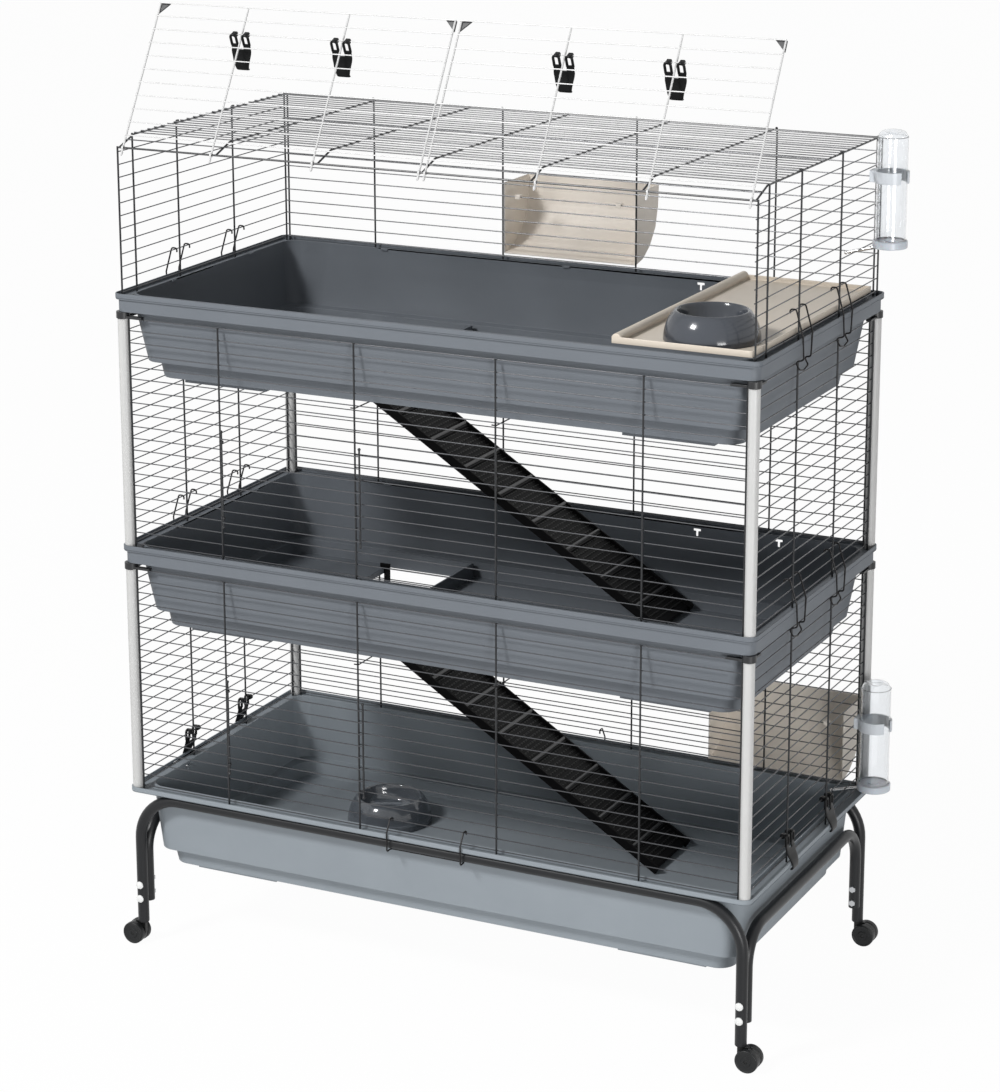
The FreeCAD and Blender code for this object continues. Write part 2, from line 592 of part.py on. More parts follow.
# Wire panels lie in their own XZ plane: uprights on Y = 0, rows behind them on the inner side.
PANEL_TALL = f"({POST_TALL} - dims.wire_thin / 2 / cos(30 deg))"
EDGE_X = f"({LINE_X} - dims.post_size / 2 - dims.wire_thick / 2 / cos(30 deg))"
EDGE_Y = f"({LINE_Y} - dims.post_size / 2 - dims.wire_thick / 2 / cos(30 deg))"
FIRST_ROW = "dims.wire_thin / 2 / cos(30 deg)"


def row_height(k, rows, tall):
    """Height of a row above the rim the panel stands on."""
    return f"{FIRST_ROW} + {k} * ({tall} - {FIRST_ROW}) / {rows - 1}"


def uprights(name, places, tall):
    return [
        wire(f"{name}_up{k}", "z", tall, x, "0", "0", "dims.wire_thick")
        for k, x in enumerate(places)
    ]


def row(name, start, end, z):
    return wire(name, "x", f"{end} - ({start})", start, LAY, z)


LONG_UPRIGHTS = [f"-{EDGE_X}", "-1.5 * dims.bay_width", "-0.5 * dims.bay_width",
                 "0.5 * dims.bay_width", "1.5 * dims.bay_width", EDGE_X]
SIDE_UPRIGHTS = [f"-{EDGE_Y}", "-0.5 * dims.side_bay", "0.5 * dims.side_bay", EDGE_Y]
UP_TALL = f"{PANEL_TALL} + dims.wire_thin / 2"
EDGE_OUT = f"({EDGE_X} + dims.wire_thick / 2)"
SIDE_OUT = f"({EDGE_Y} + dims.wire_thick / 2)"
BAY_START = "-1.5 * dims.bay_width - dims.wire_thick / 2"
BAY_END = "-0.5 * dims.bay_width + dims.wire_thick / 2"
HINGE_Y = "-(dims.wire_thick + dims.hatch_play)"
EYE_OUT = "(dims.wire_thick / 2 + dims.eye_play + dims.wire_thin)"
HINGE_X = (f"-1.5 * dims.bay_width + sqrt(pow({EYE_OUT} + dims.wire_thick / 2 / cos(30 deg); 2)"
           " - pow(dims.wire_thick + dims.hatch_play; 2))")

rear_wires = uprights("rear", LONG_UPRIGHTS, UP_TALL)
front_wires = uprights("front", LONG_UPRIGHTS, UP_TALL)
side_wires = uprights("side", SIDE_UPRIGHTS, UP_TALL)
for k in range(STOREY_ROWS):
    z = row_height(k, STOREY_ROWS, PANEL_TALL)
    rear_wires.append(row(f"rear_row{k}", f"-{EDGE_OUT}", EDGE_OUT, z))
    side_wires.append(row(f"side_row{k}", f"-{SIDE_OUT}", SIDE_OUT, z))
    if k in HATCH_ROWS:
        front_wires.append(row(f"front_row{k}a", f"-{EDGE_OUT}", BAY_START + " + dims.wire_thick", z))
        front_wires.append(row(f"front_row{k}b", BAY_END + " - dims.wire_thick", EDGE_OUT, z))
    else:
        front_wires.append(row(f"front_row{k}", f"-{EDGE_OUT}", EDGE_OUT, z))
for k, z in enumerate(("dims.hatch_low + 18", "dims.hatch_high - 18 - dims.eye_length")):
    front_wires.append(eye(f"hatch_eye{k}", "z", "dims.wire_thick", HINGE_X, HINGE_Y, z))

FACE_BACK = Turn(V(0, 0, 1), 180)
FACE_RIGHT = Turn(V(0, 0, 1), 90)
FACE_LEFT = Turn(V(0, 0, 1), -90)
for storey, rim in (("lower", RIM_LOW), ("middle", RIM_MID)):
    node(f"panel_{storey}_front", front_wires, "0", f"-{LINE_Y}", rim)
    node(f"panel_{storey}_rear", rear_wires, "0", LINE_Y, rim, FACE_BACK)
    node(f"panel_{storey}_left", side_wires, f"-{LINE_X}", "0", rim, FACE_LEFT)
    node(f"panel_{storey}_right", side_wires, LINE_X, "0", rim, FACE_RIGHT)

# Small side-hung doors in the front panels: two rods and the rows between them.
hatch = [
    rod("hatch_hinge_rod", "dims.wire_thick / 2", "dims.hatch_high - dims.hatch_low",
        HINGE_X, HINGE_Y, "dims.hatch_low"),
    wire("hatch_latch_rod", "z", "dims.hatch_high - dims.hatch_low",
         "-0.5 * dims.bay_width + dims.hatch_lap", HINGE_Y, "dims.hatch_low", "dims.wire_thick"),
]
for k in HATCH_ROWS:
    hatch.append(wire(f"hatch_row{k}", "x",
                      f"-0.5 * dims.bay_width + dims.hatch_lap + dims.wire_thick / 2 - ({HINGE_X})",
                      HINGE_X, f"{HINGE_Y} - {LAY}", row_height(k, STOREY_ROWS, PANEL_TALL)))
for storey, rim in (("lower", RIM_LOW), ("middle", RIM_MID)):
    node(f"small_door_{storey}", hatch, "0", f"-{LINE_Y}", rim)

# Upper storey: rear and side panels hook over the roof's edge wires.
TOP_TALL = "(dims.roof_rise + dims.wire_thick / 2)"
RAIL_Z = "(dims.roof_rise - dims.rail_drop)"
BEVEL_Y = f"({LINE_Y} - dims.bevel_run)"
TOP_EDGE_X = f"({LINE_X} - 2 * dims.wire_thick)"
TOP_OUT = f"({TOP_EDGE_X} + dims.wire_thick / 2)"
TOP_SIDE_OUT = f"({LINE_Y} + dims.wire_thick / 2)"


def hooks(name, places):
    """Ends of the uprights bent in over the roof's edge wire."""
    return [
        wire(f"{name}{k}", "y", "2 * dims.wire_thick", x, "-dims.wire_thick / 2",
             f"{TOP_TALL} + dims.wire_thick / 2", "dims.wire_thick")
        for k, x in enumerate(places)
    ]


def top_side(name, front):
    """A side panel of the upper storey; front is the sign of its front end along the panel."""
    back = "" if front else "-"
    inner = ["-0.5 * dims.side_bay", "0.5 * dims.side_bay"]
    wires = uprights(name, [f"{front}{BEVEL_Y}", f"{back}{LINE_Y}"] + inner, TOP_TALL)
    wires += uprights(f"{name}_edge", [f"{front}{LINE_Y}"], f"{RAIL_Z} + dims.wire_thick / 2")
    for k in range(TOP_ROWS):
        wires.append(row(f"{name}_row{k}", f"-{TOP_SIDE_OUT}", TOP_SIDE_OUT,
                         row_height(k, TOP_ROWS, "dims.top_rows_rise")))
    return wires + hooks(f"{name}_hook", inner)


top_rear = uprights("top_rear", [f"-{TOP_EDGE_X}"] + LONG_UPRIGHTS[1:5] + [TOP_EDGE_X], TOP_TALL)
for k in range(TOP_ROWS):
    top_rear.append(row(f"top_rear_row{k}", f"-{TOP_OUT}", TOP_OUT,
                        row_height(k, TOP_ROWS, "dims.top_rows_rise")))
top_rear += hooks("rear_hook", LONG_UPRIGHTS[1:5])
node("panel_top_rear", top_rear, "0", LINE_Y, RIM_TOP, FACE_BACK)
node("panel_top_left", top_side("top_left", ""), f"-{LINE_X}", "0", RIM_TOP, FACE_LEFT)
node("panel_top_right", top_side("top_right", "-"), LINE_X, "0", RIM_TOP, FACE_RIGHT)

# Roof: cross wires bent down along the front, rows on top of them, a rear edge wire and the front rail.
REAR_EDGE = f"{LINE_Y} - dims.wire_thick / 2 - dims.wire_thick / 2 / cos(30 deg)"
line_x = size("tray_length") / 2 - size("rim_inset")
line_y = size("tray_depth") / 2 - size("rim_inset")
thick = size("wire_thick")
thin = size("wire_thin")
bevel = V(0, -size("bevel_run"), -size("rail_drop"))
bevel_unit = V(bevel).normalize()
bevel_top = line_y - size("bevel_run")
corner = thick / 2 / math.cos(math.pi / 6)
roof_edge = line_x - thick / 2 - corner
cross_places = [k * line_x / 3 for k in (-2, -1, 0, 1, 2)]
roof = []
for k, x in enumerate([-roof_edge] + cross_places + [roof_edge]):
    rail_point = V(x, -line_y, size("roof_rise") - size("rail_drop"))
    roof.append(bent_wire(f"roof_cross{k}", [
        V(x, line_y - thick / 2 - 2 * corner, size("roof_rise")),
        V(x, -bevel_top, size("roof_rise")),
        rail_point - bevel_unit * (thick / 2),
    ], thick))
for k in range(ROOF_ROWS):
    y = f"-{BEVEL_Y} + 4 + {k} * ({BEVEL_Y} + {LINE_Y} - dims.wire_thick - 4) / {ROOF_ROWS}"
    roof.append(wire(f"roof_row{k}", "x", f"2 * ({LINE_X} - dims.wire_thick / 2)",
                     f"-({LINE_X} - dims.wire_thick / 2)", y, f"dims.roof_rise + {LAY}", turn=FLAT_UP))
lift = V(0, bevel_unit.z, -bevel_unit.y) * ((thick + thin) / 2 + 0.05)
middle = V(0, -bevel_top, size("roof_rise")) + bevel * 0.5 + lift
roof.append(bent_wire("bevel_row", [middle - V(roof_edge, 0, 0), middle + V(roof_edge, 0, 0)], thin * 0.95))
roof.append(wire("roof_rear_edge", "x", f"2 * ({LINE_X} - dims.wire_thick / 2)",
                 f"-({LINE_X} - dims.wire_thick / 2)", REAR_EDGE, "dims.roof_rise",
                 "dims.wire_thick", FLAT_UP))
roof.append(rod("front_rail", "dims.wire_thick / 2", f"2 * ({LINE_X} - dims.wire_thick / 2)",
                f"-({LINE_X} - dims.wire_thick / 2)", f"-{LINE_Y}", RAIL_Z, ALONG["x"]))
node("roof_panel", roof, "0", "0", RIM_TOP)

# Top front doors, hung on the rail by wire eyes and shown open, leaning back.
RAIL_WORLD = f"{RIM_TOP} + {RAIL_Z}"
OPEN = Turn(V(1, 0, 0), -size("door_lean"))


def door_row(k):
    """Distance of a door row from the rail."""
    span = "dims.door_length - dims.wire_thin / 2 - dims.door_first"
    return f"dims.door_first + {k} * ({span}) / {DOOR_ROWS - 1}"


for side, sign in (("left", "-"), ("right", "")):
    ends = [f"{sign}dims.door_gap", f"{sign}({LINE_X} - dims.door_side_gap)"]
    inner = [f"{sign}({LINE_X} / 3 + dims.eye_offset)", f"{sign}({LINE_X} * 2 / 3 + dims.eye_offset)"]
    wires = []
    for k, x in enumerate(ends + inner):
        name = f"door_{side}{k}"
        wires.append(eye(f"{name}_eye", "x", "dims.wire_thick", f"{x} - dims.eye_length / 2", "0", "0"))
        wires.append(wire(f"{name}_up", "z", f"dims.door_length - {EYE_OUT}",
                          x, "0", EYE_OUT, "dims.wire_thick"))
        wires.append(wire(f"{name}_tail", "z", "dims.tail_length",
                          x, "0", f"-{EYE_OUT} - dims.tail_length", "dims.wire_thick"))
    low, high = (ends[1], ends[0]) if sign else (ends[0], ends[1])
    for k in range(DOOR_ROWS):
        wires.append(wire(f"door_{side}_row{k}", "x", f"{high} - ({low}) + dims.wire_thick",
                          f"{low} - dims.wire_thick / 2", f"-{LAY}", door_row(k)))
    node(f"top_door_{side}", wires, "0", f"-{LINE_Y}", RAIL_WORLD, OPEN)
    caps = []
    for k, (corner, inward) in enumerate(((low, ""), (high, "-"))):
        x = f"{corner} - ({inward}dims.wire_thick / 2)"
        sketch = outline(f"cap_{side}{k}_outline", [
            (x, "dims.door_length"),
            (f"{x} + ({inward}dims.corner_cap)", "dims.door_length"),
            (x, "dims.door_length - dims.corner_cap"),
        ])
        plate = extrude(f"cap_{side}{k}", sketch, "dims.wall_thick")
        caps.append(place(plate, y="dims.wire_thick / 2 + dims.wall_thick"))
    node(f"door_caps_{side}", caps, "0", f"-{LINE_Y}", RAIL_WORLD, OPEN)

# Plastic clip: two windowed ears that snap on a row wire and a bowed body with a toe, hanging from its ears.
clip_profile = outline("clip_profile", [
    ("6", "-8"), ("9.5", "-8"), ("11", "-28"), ("21", "-40"), ("21", "-58"), ("12.5", "-58"),
    ("12.5", "-52.8 - dims.clip_play"), ("16.4", "-52.8 - dims.clip_play"), ("16.4", "-42"), ("6", "-30"),
], "YZ")
clip_plate = place(extrude("clip_plate", clip_profile, "dims.clip_width"), "-dims.clip_width / 2")
ear_profile = outline("ear_profile", [
    ("-dims.clip_eye / 2", "dims.clip_eye / 2"), ("9.5", "dims.clip_eye / 2"), ("9.5", "-12"), ("6", "-12"),
    ("6", "-dims.clip_eye / 2"), ("-dims.clip_eye / 2", "-dims.clip_eye / 2"),
], "YZ")
ears = [
    place(extrude(f"clip_ear{k}", ear_profile, "dims.clip_ear"), x)
    for k, x in enumerate(("-dims.clip_width / 2", "dims.clip_width / 2 - dims.clip_ear"))
]
WIRE_ROUND = "dims.wire_thin / 2 / cos(30 deg) + dims.eye_play"
clip_cuts = group("clip_cuts", [
    rod("clip_bore", WIRE_ROUND, "dims.clip_width + 2", "-dims.clip_width / 2 - 1", "0", "0", ALONG["x"]),
    box("clip_mouth", "dims.clip_width + 2", "dims.clip_eye", f"2 * ({WIRE_ROUND}) * 0.9",
        "-dims.clip_width / 2 - 1", "-dims.clip_eye", f"-0.9 * ({WIRE_ROUND})"),
    box("clip_notch", "dims.clip_width - 2 * dims.clip_ear", "12", "22",
        "-dims.clip_width / 2 + dims.clip_ear", "0", "-28"),
] + [
    box(f"clip_window{k}", "dims.clip_window", "12", "2 * dims.clip_window",
        f"{sign}(dims.clip_width - dims.clip_ear) / 2 - dims.clip_window / 2", "0", "-24")
    for k, sign in enumerate(("-", ""))
])
clip = cut("clip_master", fuse("clip_body", [clip_plate] + ears), clip_cuts)

lean = math.radians(size("door_lean"))
hang = Turn(V(1, 0, 0), size("clip_hang")) * FACE_BACK
pivot_row = 8
row_span = size("door_length") - thin / 2 - size("door_first")
pivot_reach = size("door_first") + pivot_row * row_span / (DOOR_ROWS - 1)
pivot_y = math.sin(lean) * pivot_reach - math.cos(lean) * (thick + thin) / 2
pivot_z = math.cos(lean) * pivot_reach + math.sin(lean) * (thick + thin) / 2
for side, sign in (("left", "-"), ("right", "")):
    for k, share in (("inner", "/ 3"), ("outer", "* 2 / 3")):
        node(f"door_clip_{side}_{k}", [clip], f"{sign}({LINE_X} {share} + dims.eye_offset)",
             f"-{LINE_Y} + {pivot_y}", f"{RAIL_WORLD} + {pivot_z}", hang)
TRAY_CLIP_ROW = row_height(2, STOREY_ROWS, PANEL_TALL)
for side, sign, turn in (("left", "-", FACE_RIGHT), ("right", "", FACE_LEFT)):
    for end, y in (("front", "-0.5 * dims.side_bay"), ("rear", "0.5 * dims.side_bay")):
        node(f"tray_clip_{side}_{end}", [clip], f"{sign}({LINE_X} - {LAY})", y,
             f"{RIM_LOW} + {TRAY_CLIP_ROW}", turn)

# Bent wire: side clips over the upper two rims, stays over the stand tubes, tie rods under the upper trays.
gauge = size("spring_gauge")
half_x = size("tray_length") / 2
half_y = size("tray_depth") / 2
rims = [size("rim_height") + k * size("level_pitch") for k in range(3)]
post_tall = size("level_pitch") - size("skirt_drop") - size("ring_height")
storey_tall = post_tall - thin / 2 / math.cos(math.pi / 6)


def row_z(k, rows, tall):
    """Height of a row above its rim, in millimetres."""
    first = thin / 2 / math.cos(math.pi / 6)
    return first + k * (tall - first) / (rows - 1)


bent = []
hooked_rows = {1: row_z(2, STOREY_ROWS, storey_tall), 2: row_z(2, TOP_ROWS, size("top_rows_rise"))}
for level, row_two in hooked_rows.items():
    rim = rims[level]
    for sign in (-1, 1):
        for k, y in enumerate((-size("side_bay") / 2, size("side_bay") / 2)):
            over = row_two + thin / 2 / math.cos(math.pi / 6) + gauge / 2 + 0.2
            wire_x = line_x - (thick + thin) / 2
            reach = half_x + gauge / 2 + 2
            leg = [
                (wire_x - thin - gauge / 2, over - 6), (wire_x - thin - gauge / 2, over),
                (line_x + thick / 2 + gauge, over), (reach, 5), (reach, -size("skirt_drop") - 3),
                (line_x + thick / 2 + gauge, post_tall - size("level_pitch") - 2),
            ]
            half = size("spring_width") / 2
            points = [V(sign * px, y - half, rim + pz) for px, pz in leg]
            points += [V(sign * px, y + half, rim + pz) for px, pz in reversed(leg)]
            bent.append(bent_wire(f"side_clip_{level}{'lr'[sign > 0]}{k}", points, gauge))
for k, sign in enumerate((-1, 1)):
    over = row_z(1, STOREY_ROWS, storey_tall) + thin / 2 / math.cos(math.pi / 6) + gauge / 2 + 0.2
    wire_y = line_y - (thick + thin) / 2
    reach = half_y + gauge / 2 + 1.5
    under = -size("lip_thick") - size("tube_size") - size("tube_seat") - gauge / 2 - 0.3
    leg = [
        (wire_y - thin - gauge / 2, over - 6), (wire_y - thin - gauge / 2, over),
        (line_y + thick / 2 + gauge, over), (reach, 5), (reach, under), (line_y, under),
    ]
    half = size("stay_width") / 2
    points = [V(-half, sign * py, rims[0] + pz) for py, pz in leg]
    points += [V(half, sign * py, rims[0] + pz) for py, pz in reversed(leg)]
    bent.append(bent_wire(f"stand_stay{k}", points, gauge))
node("wire_clips", bent)

rods = []
for level in (1, 2):
    z = rims[level] - size("floor_drop") - gauge / 2 - 0.2
    for k, x in enumerate((-size("bay_width") / 2, size("bay_width") / 2)):
        beside = x + thick / 2 / math.cos(math.pi / 6) + gauge / 2 / math.cos(math.pi / 6)
        reach = line_y + thick / 2 + gauge / 2 + 0.2
        rods.append(bent_wire(f"tie_rod_{level}{k}", [
            V(beside - 8, -reach, z), V(beside, -reach, z), V(beside, reach, z), V(beside - 8, reach, z),
        ], gauge))
node("tie_rods", rods)

# Ramps: two flanges whose top ends hook over the hole's left edge, a deck and rungs.
# Their heights are taken from the rim of the upper tray.
SLOPE = "dims.ramp_slope"
FOOT_Z = "(-dims.level_pitch - dims.floor_drop + dims.wall_thick + dims.seat_play)"
HOOK_X = f"({HOLE_X} + dims.seat_play)"
FOOT_X = f"({HOLE_X} + dims.ramp_run)"
HOOK_Z = f"({FLOOR_Z} + dims.seat_play)"
NECK = "(3 * dims.flange_thick)"
REST_Y = f"({HALF_Y} - dims.hole_back)"


def ramp_line(x, rise):
    """Height on a line parallel to the ramp, a given distance above its lower edge."""
    return f"{FOOT_Z} + ({FOOT_X} - ({x})) * tan({SLOPE}) + ({rise}) / cos({SLOPE})"


flange_profile = outline("flange_profile", [
    (FOOT_X, FOOT_Z),
    (f"{FOOT_X} + dims.flange_height * sin({SLOPE})", f"{FOOT_Z} + dims.flange_height * cos({SLOPE})"),
    (f"{HOOK_X} + {NECK}", ramp_line(f"{HOOK_X} + {NECK}", "dims.flange_height")),
    (f"{HOOK_X} + {NECK}", f"{HOOK_Z} + 2 * dims.flange_thick"),
    (f"{HOOK_X} - 2 * dims.flange_thick", f"{HOOK_Z} + 2 * dims.flange_thick"),
    (f"{HOOK_X} - 2 * dims.flange_thick", HOOK_Z),
    (HOOK_X, HOOK_Z),
    (HOOK_X, ramp_line(HOOK_X, "0")),
])
deck_profile = outline("deck_profile", [
    (FOOT_X, ramp_line(FOOT_X, "dims.flange_height / 3")),
    (FOOT_X, ramp_line(FOOT_X, "dims.flange_height / 3 + dims.deck_thick")),
    (HOOK_X, ramp_line(HOOK_X, "dims.flange_height / 3 + dims.deck_thick")),
    (HOOK_X, ramp_line(HOOK_X, "dims.flange_height / 3")),
])
flanges = [
    place(extrude(f"flange{k}", flange_profile, "dims.flange_thick"), y=y)
    for k, y in enumerate((f"{REST_Y} - dims.ramp_width / 2 + dims.flange_thick",
                           f"{REST_Y} + dims.ramp_width / 2"))
]
deck = place(extrude("deck", deck_profile, "dims.ramp_width - dims.flange_thick"),
             y=f"{REST_Y} + dims.ramp_width / 2 - dims.flange_thick / 2")
rungs = []
for k in range(RUNGS):
    x = f"{FOOT_X} - {(k + 0.7) / RUNGS} * ({FOOT_X} - {HOOK_X} - dims.flange_height)"
    rung = box(f"rung{k}", "dims.rung_size", "dims.ramp_width - dims.flange_thick", "dims.rung_size")
    place(rung, x, f"{REST_Y} - dims.ramp_width / 2 + dims.flange_thick / 2",
          ramp_line(x, "dims.flange_height / 3 + dims.deck_thick / 2"),
          Turn(V(0, 1, 0), size("ramp_slope")))
    rungs.append(rung)
ramp = fuse("ramp_master", flanges + [deck] + rungs)
node("ramp_lower", [ramp], z=RIM_MID)
node("ramp_upper", [ramp], z=RIM_TOP)

# Shelf on the right end of the top rim: plate, raised edges and a rolled left edge.
SHELF_END = f"({HALF_X} - dims.wall_inset)"
SHELF_Y = f"({HALF_Y} - dims.wall_inset - 1)"
SHELF_X = f"({SHELF_END} - dims.shelf_length)"
shelf_plate = box("shelf_plate", "dims.shelf_length", f"2 * {SHELF_Y}", "dims.shelf_rim",
                  SHELF_X, f"-{SHELF_Y}")
shelf_dish = box("shelf_dish", "dims.shelf_length - 2 * dims.shelf_thick",
                 f"2 * {SHELF_Y} - 2 * dims.shelf_thick", "dims.shelf_rim",
                 f"{SHELF_X} + dims.shelf_thick", f"-{SHELF_Y} + dims.shelf_thick", "dims.shelf_thick")
shelf_roll = rod("shelf_roll", "dims.shelf_rim * 0.75", f"2 * {SHELF_Y}",
                 f"{SHELF_X} + dims.shelf_rim * 0.75", f"-{SHELF_Y}", "dims.shelf_rim * 0.75", ALONG["y"])
shelf = fuse("shelf_master", [cut("shelf_tray", shelf_plate, shelf_dish), shelf_roll])
node("shelf", [shelf], z=f"{RIM_TOP} + dims.seat_play")

# Hay racks: curved back wall and two cheeks, open to the cage and at the top, hooked on a panel row.
RACK_CURVE = [("0.97", "0.70"), ("0.86", "0.42"), ("0.62", "0.19"), ("0.32", "0.05")]
rack_outer = outline("rack_outer", [
    ("0", "0"), ("0", "dims.rack_height"), ("dims.rack_reach", "dims.rack_height"),
] + [
    (f"dims.rack_reach * {u}", f"dims.rack_height * {v}") for u, v in RACK_CURVE
], "YZ")
rack_inner = outline("rack_inner", [
    ("-1", "dims.rack_wall"), ("-1", "dims.rack_height + 1"),
    ("dims.rack_reach - dims.rack_wall", "dims.rack_height + 1"),
] + [
    (f"dims.rack_reach * {u} - dims.rack_wall * {u}", f"dims.rack_height * {v} + dims.rack_wall * (1 - {v})")
    for u, v in RACK_CURVE
], "YZ")
TAB_Z = "(dims.rack_height - 22)"
ROW_IN = f"({LAY} + dims.wire_thick / 2 + dims.seat_play)"
TOOTH = f"(-{ROW_IN} - dims.wire_thin / 2 - 2 * dims.seat_play)"
tab_profile = outline("tab_profile", [
    ("dims.rack_wall", TAB_Z), ("dims.rack_wall", f"{TAB_Z} + dims.rack_wall"),
    (f"{TOOTH} - dims.rack_wall", f"{TAB_Z} + dims.rack_wall"),
    (f"{TOOTH} - dims.rack_wall", f"{TAB_Z} - 2 * dims.rack_wall"),
    (TOOTH, f"{TAB_Z} - 2 * dims.rack_wall"),
    (TOOTH, TAB_Z),
], "YZ")
rack_shell = cut(
    "rack_shell",
    place(extrude("rack_block", rack_outer, "dims.rack_width"), "-dims.rack_width / 2"),
    place(extrude("rack_void", rack_inner, "dims.rack_width - 2 * dims.rack_wall"),
          "-dims.rack_width / 2 + dims.rack_wall"),
)
tabs = [
    place(extrude(f"rack_tab{k}", tab_profile, "4 * dims.rack_wall"), x)
    for k, x in enumerate(("-0.4 * dims.rack_width", "0.4 * dims.rack_width - 4 * dims.rack_wall"))
]
rack = fuse("rack_master", [rack_shell] + tabs)
RACK_Y = f"{LINE_Y} + dims.wire_thick / 2 + dims.seat_play"
TAB_SEAT = "dims.wire_thin / 2 / cos(30 deg) + dims.seat_play"
node("hay_rack_top", [rack], "0", RACK_Y,
     f"{RIM_TOP} + {row_height(5, TOP_ROWS, 'dims.top_rows_rise')} + {TAB_SEAT} - {TAB_Z}")
node("hay_rack_lower", [rack], f"{HALF_X} - dims.rack_inset", RACK_Y,
     f"{RIM_LOW} + {row_height(5, STOREY_ROWS, PANEL_TALL)} + {TAB_SEAT} - {TAB_Z}")

# Bowls: heavy flared dishes.
BASE_R = "dims.bowl_base / 2"
MOUTH_R = "dims.bowl_mouth / 2"
bowl_profile = outline("bowl_profile", [
    ("0", "dims.bowl_height * 0.30"), (f"{MOUTH_R} * 0.62", "dims.bowl_height * 0.31"),
    (f"{MOUTH_R} * 0.82", "dims.bowl_height * 0.42"),
    (f"{MOUTH_R} - 3 * dims.bowl_wall / 2", "dims.bowl_height * 0.88"),
    (f"{MOUTH_R} - dims.bowl_wall / 2", "dims.bowl_height * 0.985"), (f"{MOUTH_R} + 1", "dims.bowl_height"),
    (f"{MOUTH_R} + 1.2 * dims.bowl_wall", "dims.bowl_height * 0.96"),
    (f"{BASE_R} - 2 * dims.bowl_wall", "dims.bowl_height * 0.68"),
    (f"{BASE_R} - dims.bowl_wall / 2", "dims.bowl_height * 0.35"),
    (BASE_R, "dims.bowl_height * 0.05"), (BASE_R, "0"),
    (f"{BASE_R} - dims.bowl_wall", "0"), (f"{BASE_R} - 2 * dims.bowl_wall", "dims.bowl_height * 0.22"),
    ("0", "dims.bowl_height * 0.24"),
])


def revolve(name, sketch):
    """The body that a half section sweeps round the Z axis."""
    body = doc.addObject("Part::Revolution", name)
    body.Source = sketch
    body.Axis = V(0, 0, 1)
    body.Base = V()
    body.Angle = 360
    body.Solid = True
    return body


bowl = revolve("bowl_master", bowl_profile)
node("bowl_shelf", [bowl], f"{SHELF_END} - dims.bowl_end_gap - {BASE_R}",
     f"-{SHELF_Y} + dims.bowl_front_gap + {BASE_R}", f"{RIM_TOP} + 2 * dims.seat_play + dims.shelf_thick")
node("bowl_floor", [bowl], f"-{HALF_X} + dims.bowl_inset", f"{HALF_Y} - dims.bowl_back",
     f"{RIM_LOW} + {FLOOR_Z} + dims.seat_play")

# Bottles stand upside down on their caps in rings on the right panels.
# A steel spout leads in between the rows.
BOTTLE_R = "dims.bottle_size / 2"
bottle_profile = outline("bottle_profile", [
    (f"{BOTTLE_R} - dims.bottle_wall", "0"), (BOTTLE_R, "0"), (BOTTLE_R, "dims.bottle_height - 14"),
    (f"{BOTTLE_R} - 3", "dims.bottle_height - 5"), (f"{BOTTLE_R} - 10", "dims.bottle_height"),
    ("0", "dims.bottle_height"), ("0", "dims.bottle_height - dims.bottle_wall"),
    (f"{BOTTLE_R} - 11", "dims.bottle_height - dims.bottle_wall"),
    (f"{BOTTLE_R} - dims.bottle_wall - 3", "dims.bottle_height - 6"),
    (f"{BOTTLE_R} - dims.bottle_wall", "dims.bottle_height - 15"),
])
bottle = place(revolve("bottle_master", bottle_profile), z="dims.cap_tall")
cap = rod("bottle_cap_master", "dims.cap_size / 2", "dims.cap_tall")
spout_bar = rod("spout_bar", "dims.spout_size / 2", "dims.spout_reach", "0", "0", "dims.cap_tall * 0.4",
                Turn(V(0, 1, 0), -90 - size("spout_slope")))
spout = cut("spout_master", spout_bar, cap)
BOTTLE_X = f"({HALF_X} + dims.bottle_out)"
BOTTLE_Y = f"({HALF_Y} - dims.bottle_back)"
RING_Z = "dims.cap_tall + dims.holder_rise"
ring = rod("holder_ring", f"{BOTTLE_R} + dims.seat_play + dims.holder_wall", "dims.holder_height", z=RING_Z)
bracket = box("holder_bracket", f"{BOTTLE_X} - {LINE_X} + {LAY} - dims.wire_thin / 2", "8 * dims.holder_wall",
              "dims.holder_height", f"-({BOTTLE_X} - {LINE_X} + {LAY} - dims.wire_thin / 2)",
              "-4 * dims.holder_wall", RING_Z)
ring_bore = rod("holder_bore", f"{BOTTLE_R} + dims.seat_play", "dims.holder_height", z=RING_Z)
ring_mouth = box("holder_mouth", "dims.bottle_size", f"0.7 * {BOTTLE_R}", "dims.holder_height",
                 "0", f"-0.7 * {BOTTLE_R}", RING_Z)
holder_cuts = group("holder_cuts", [ring_bore, ring_mouth])
holder = cut("holder_master", fuse("holder_body", [ring, bracket]), holder_cuts)
LOW_Z = f"{RIM_LOW} + dims.bottle_low"
HIGH_Z = f"{RIM_TOP} + dims.bottle_high"
for storey, z in (("lower", LOW_Z), ("top", HIGH_Z)):
    node(f"bottle_{storey}", [bottle], BOTTLE_X, BOTTLE_Y, z)
    node(f"bottle_cap_{storey}", [cap], BOTTLE_X, BOTTLE_Y, z)
    node(f"bottle_spout_{storey}", [spout], BOTTLE_X, BOTTLE_Y, z)
holders = []
for k, z in enumerate((LOW_Z, HIGH_Z)):
    holders.append(place(group(f"holder{k}", [holder]), BOTTLE_X, BOTTLE_Y, z))
node("bottle_holders", holders)

doc.recompute()
failed = [item.Name for item in doc.Objects if "Invalid" in item.State or "Error" in item.State]
if failed:
    raise RuntimeError(f"objects that did not build: {failed}")
for piece in nodes:
    if piece.Shape.isNull() or not piece.Shape.isValid():
        raise RuntimeError(f"{piece.Label} has no valid shape")
for piece in nodes:
    piece.Shape.exportStep(f"parts/{piece.Label}.step")
print(len(nodes), "pieces written")
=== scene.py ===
import json
import math

import bmesh
import bpy
import numpy as np
from mathutils import Matrix, Vector


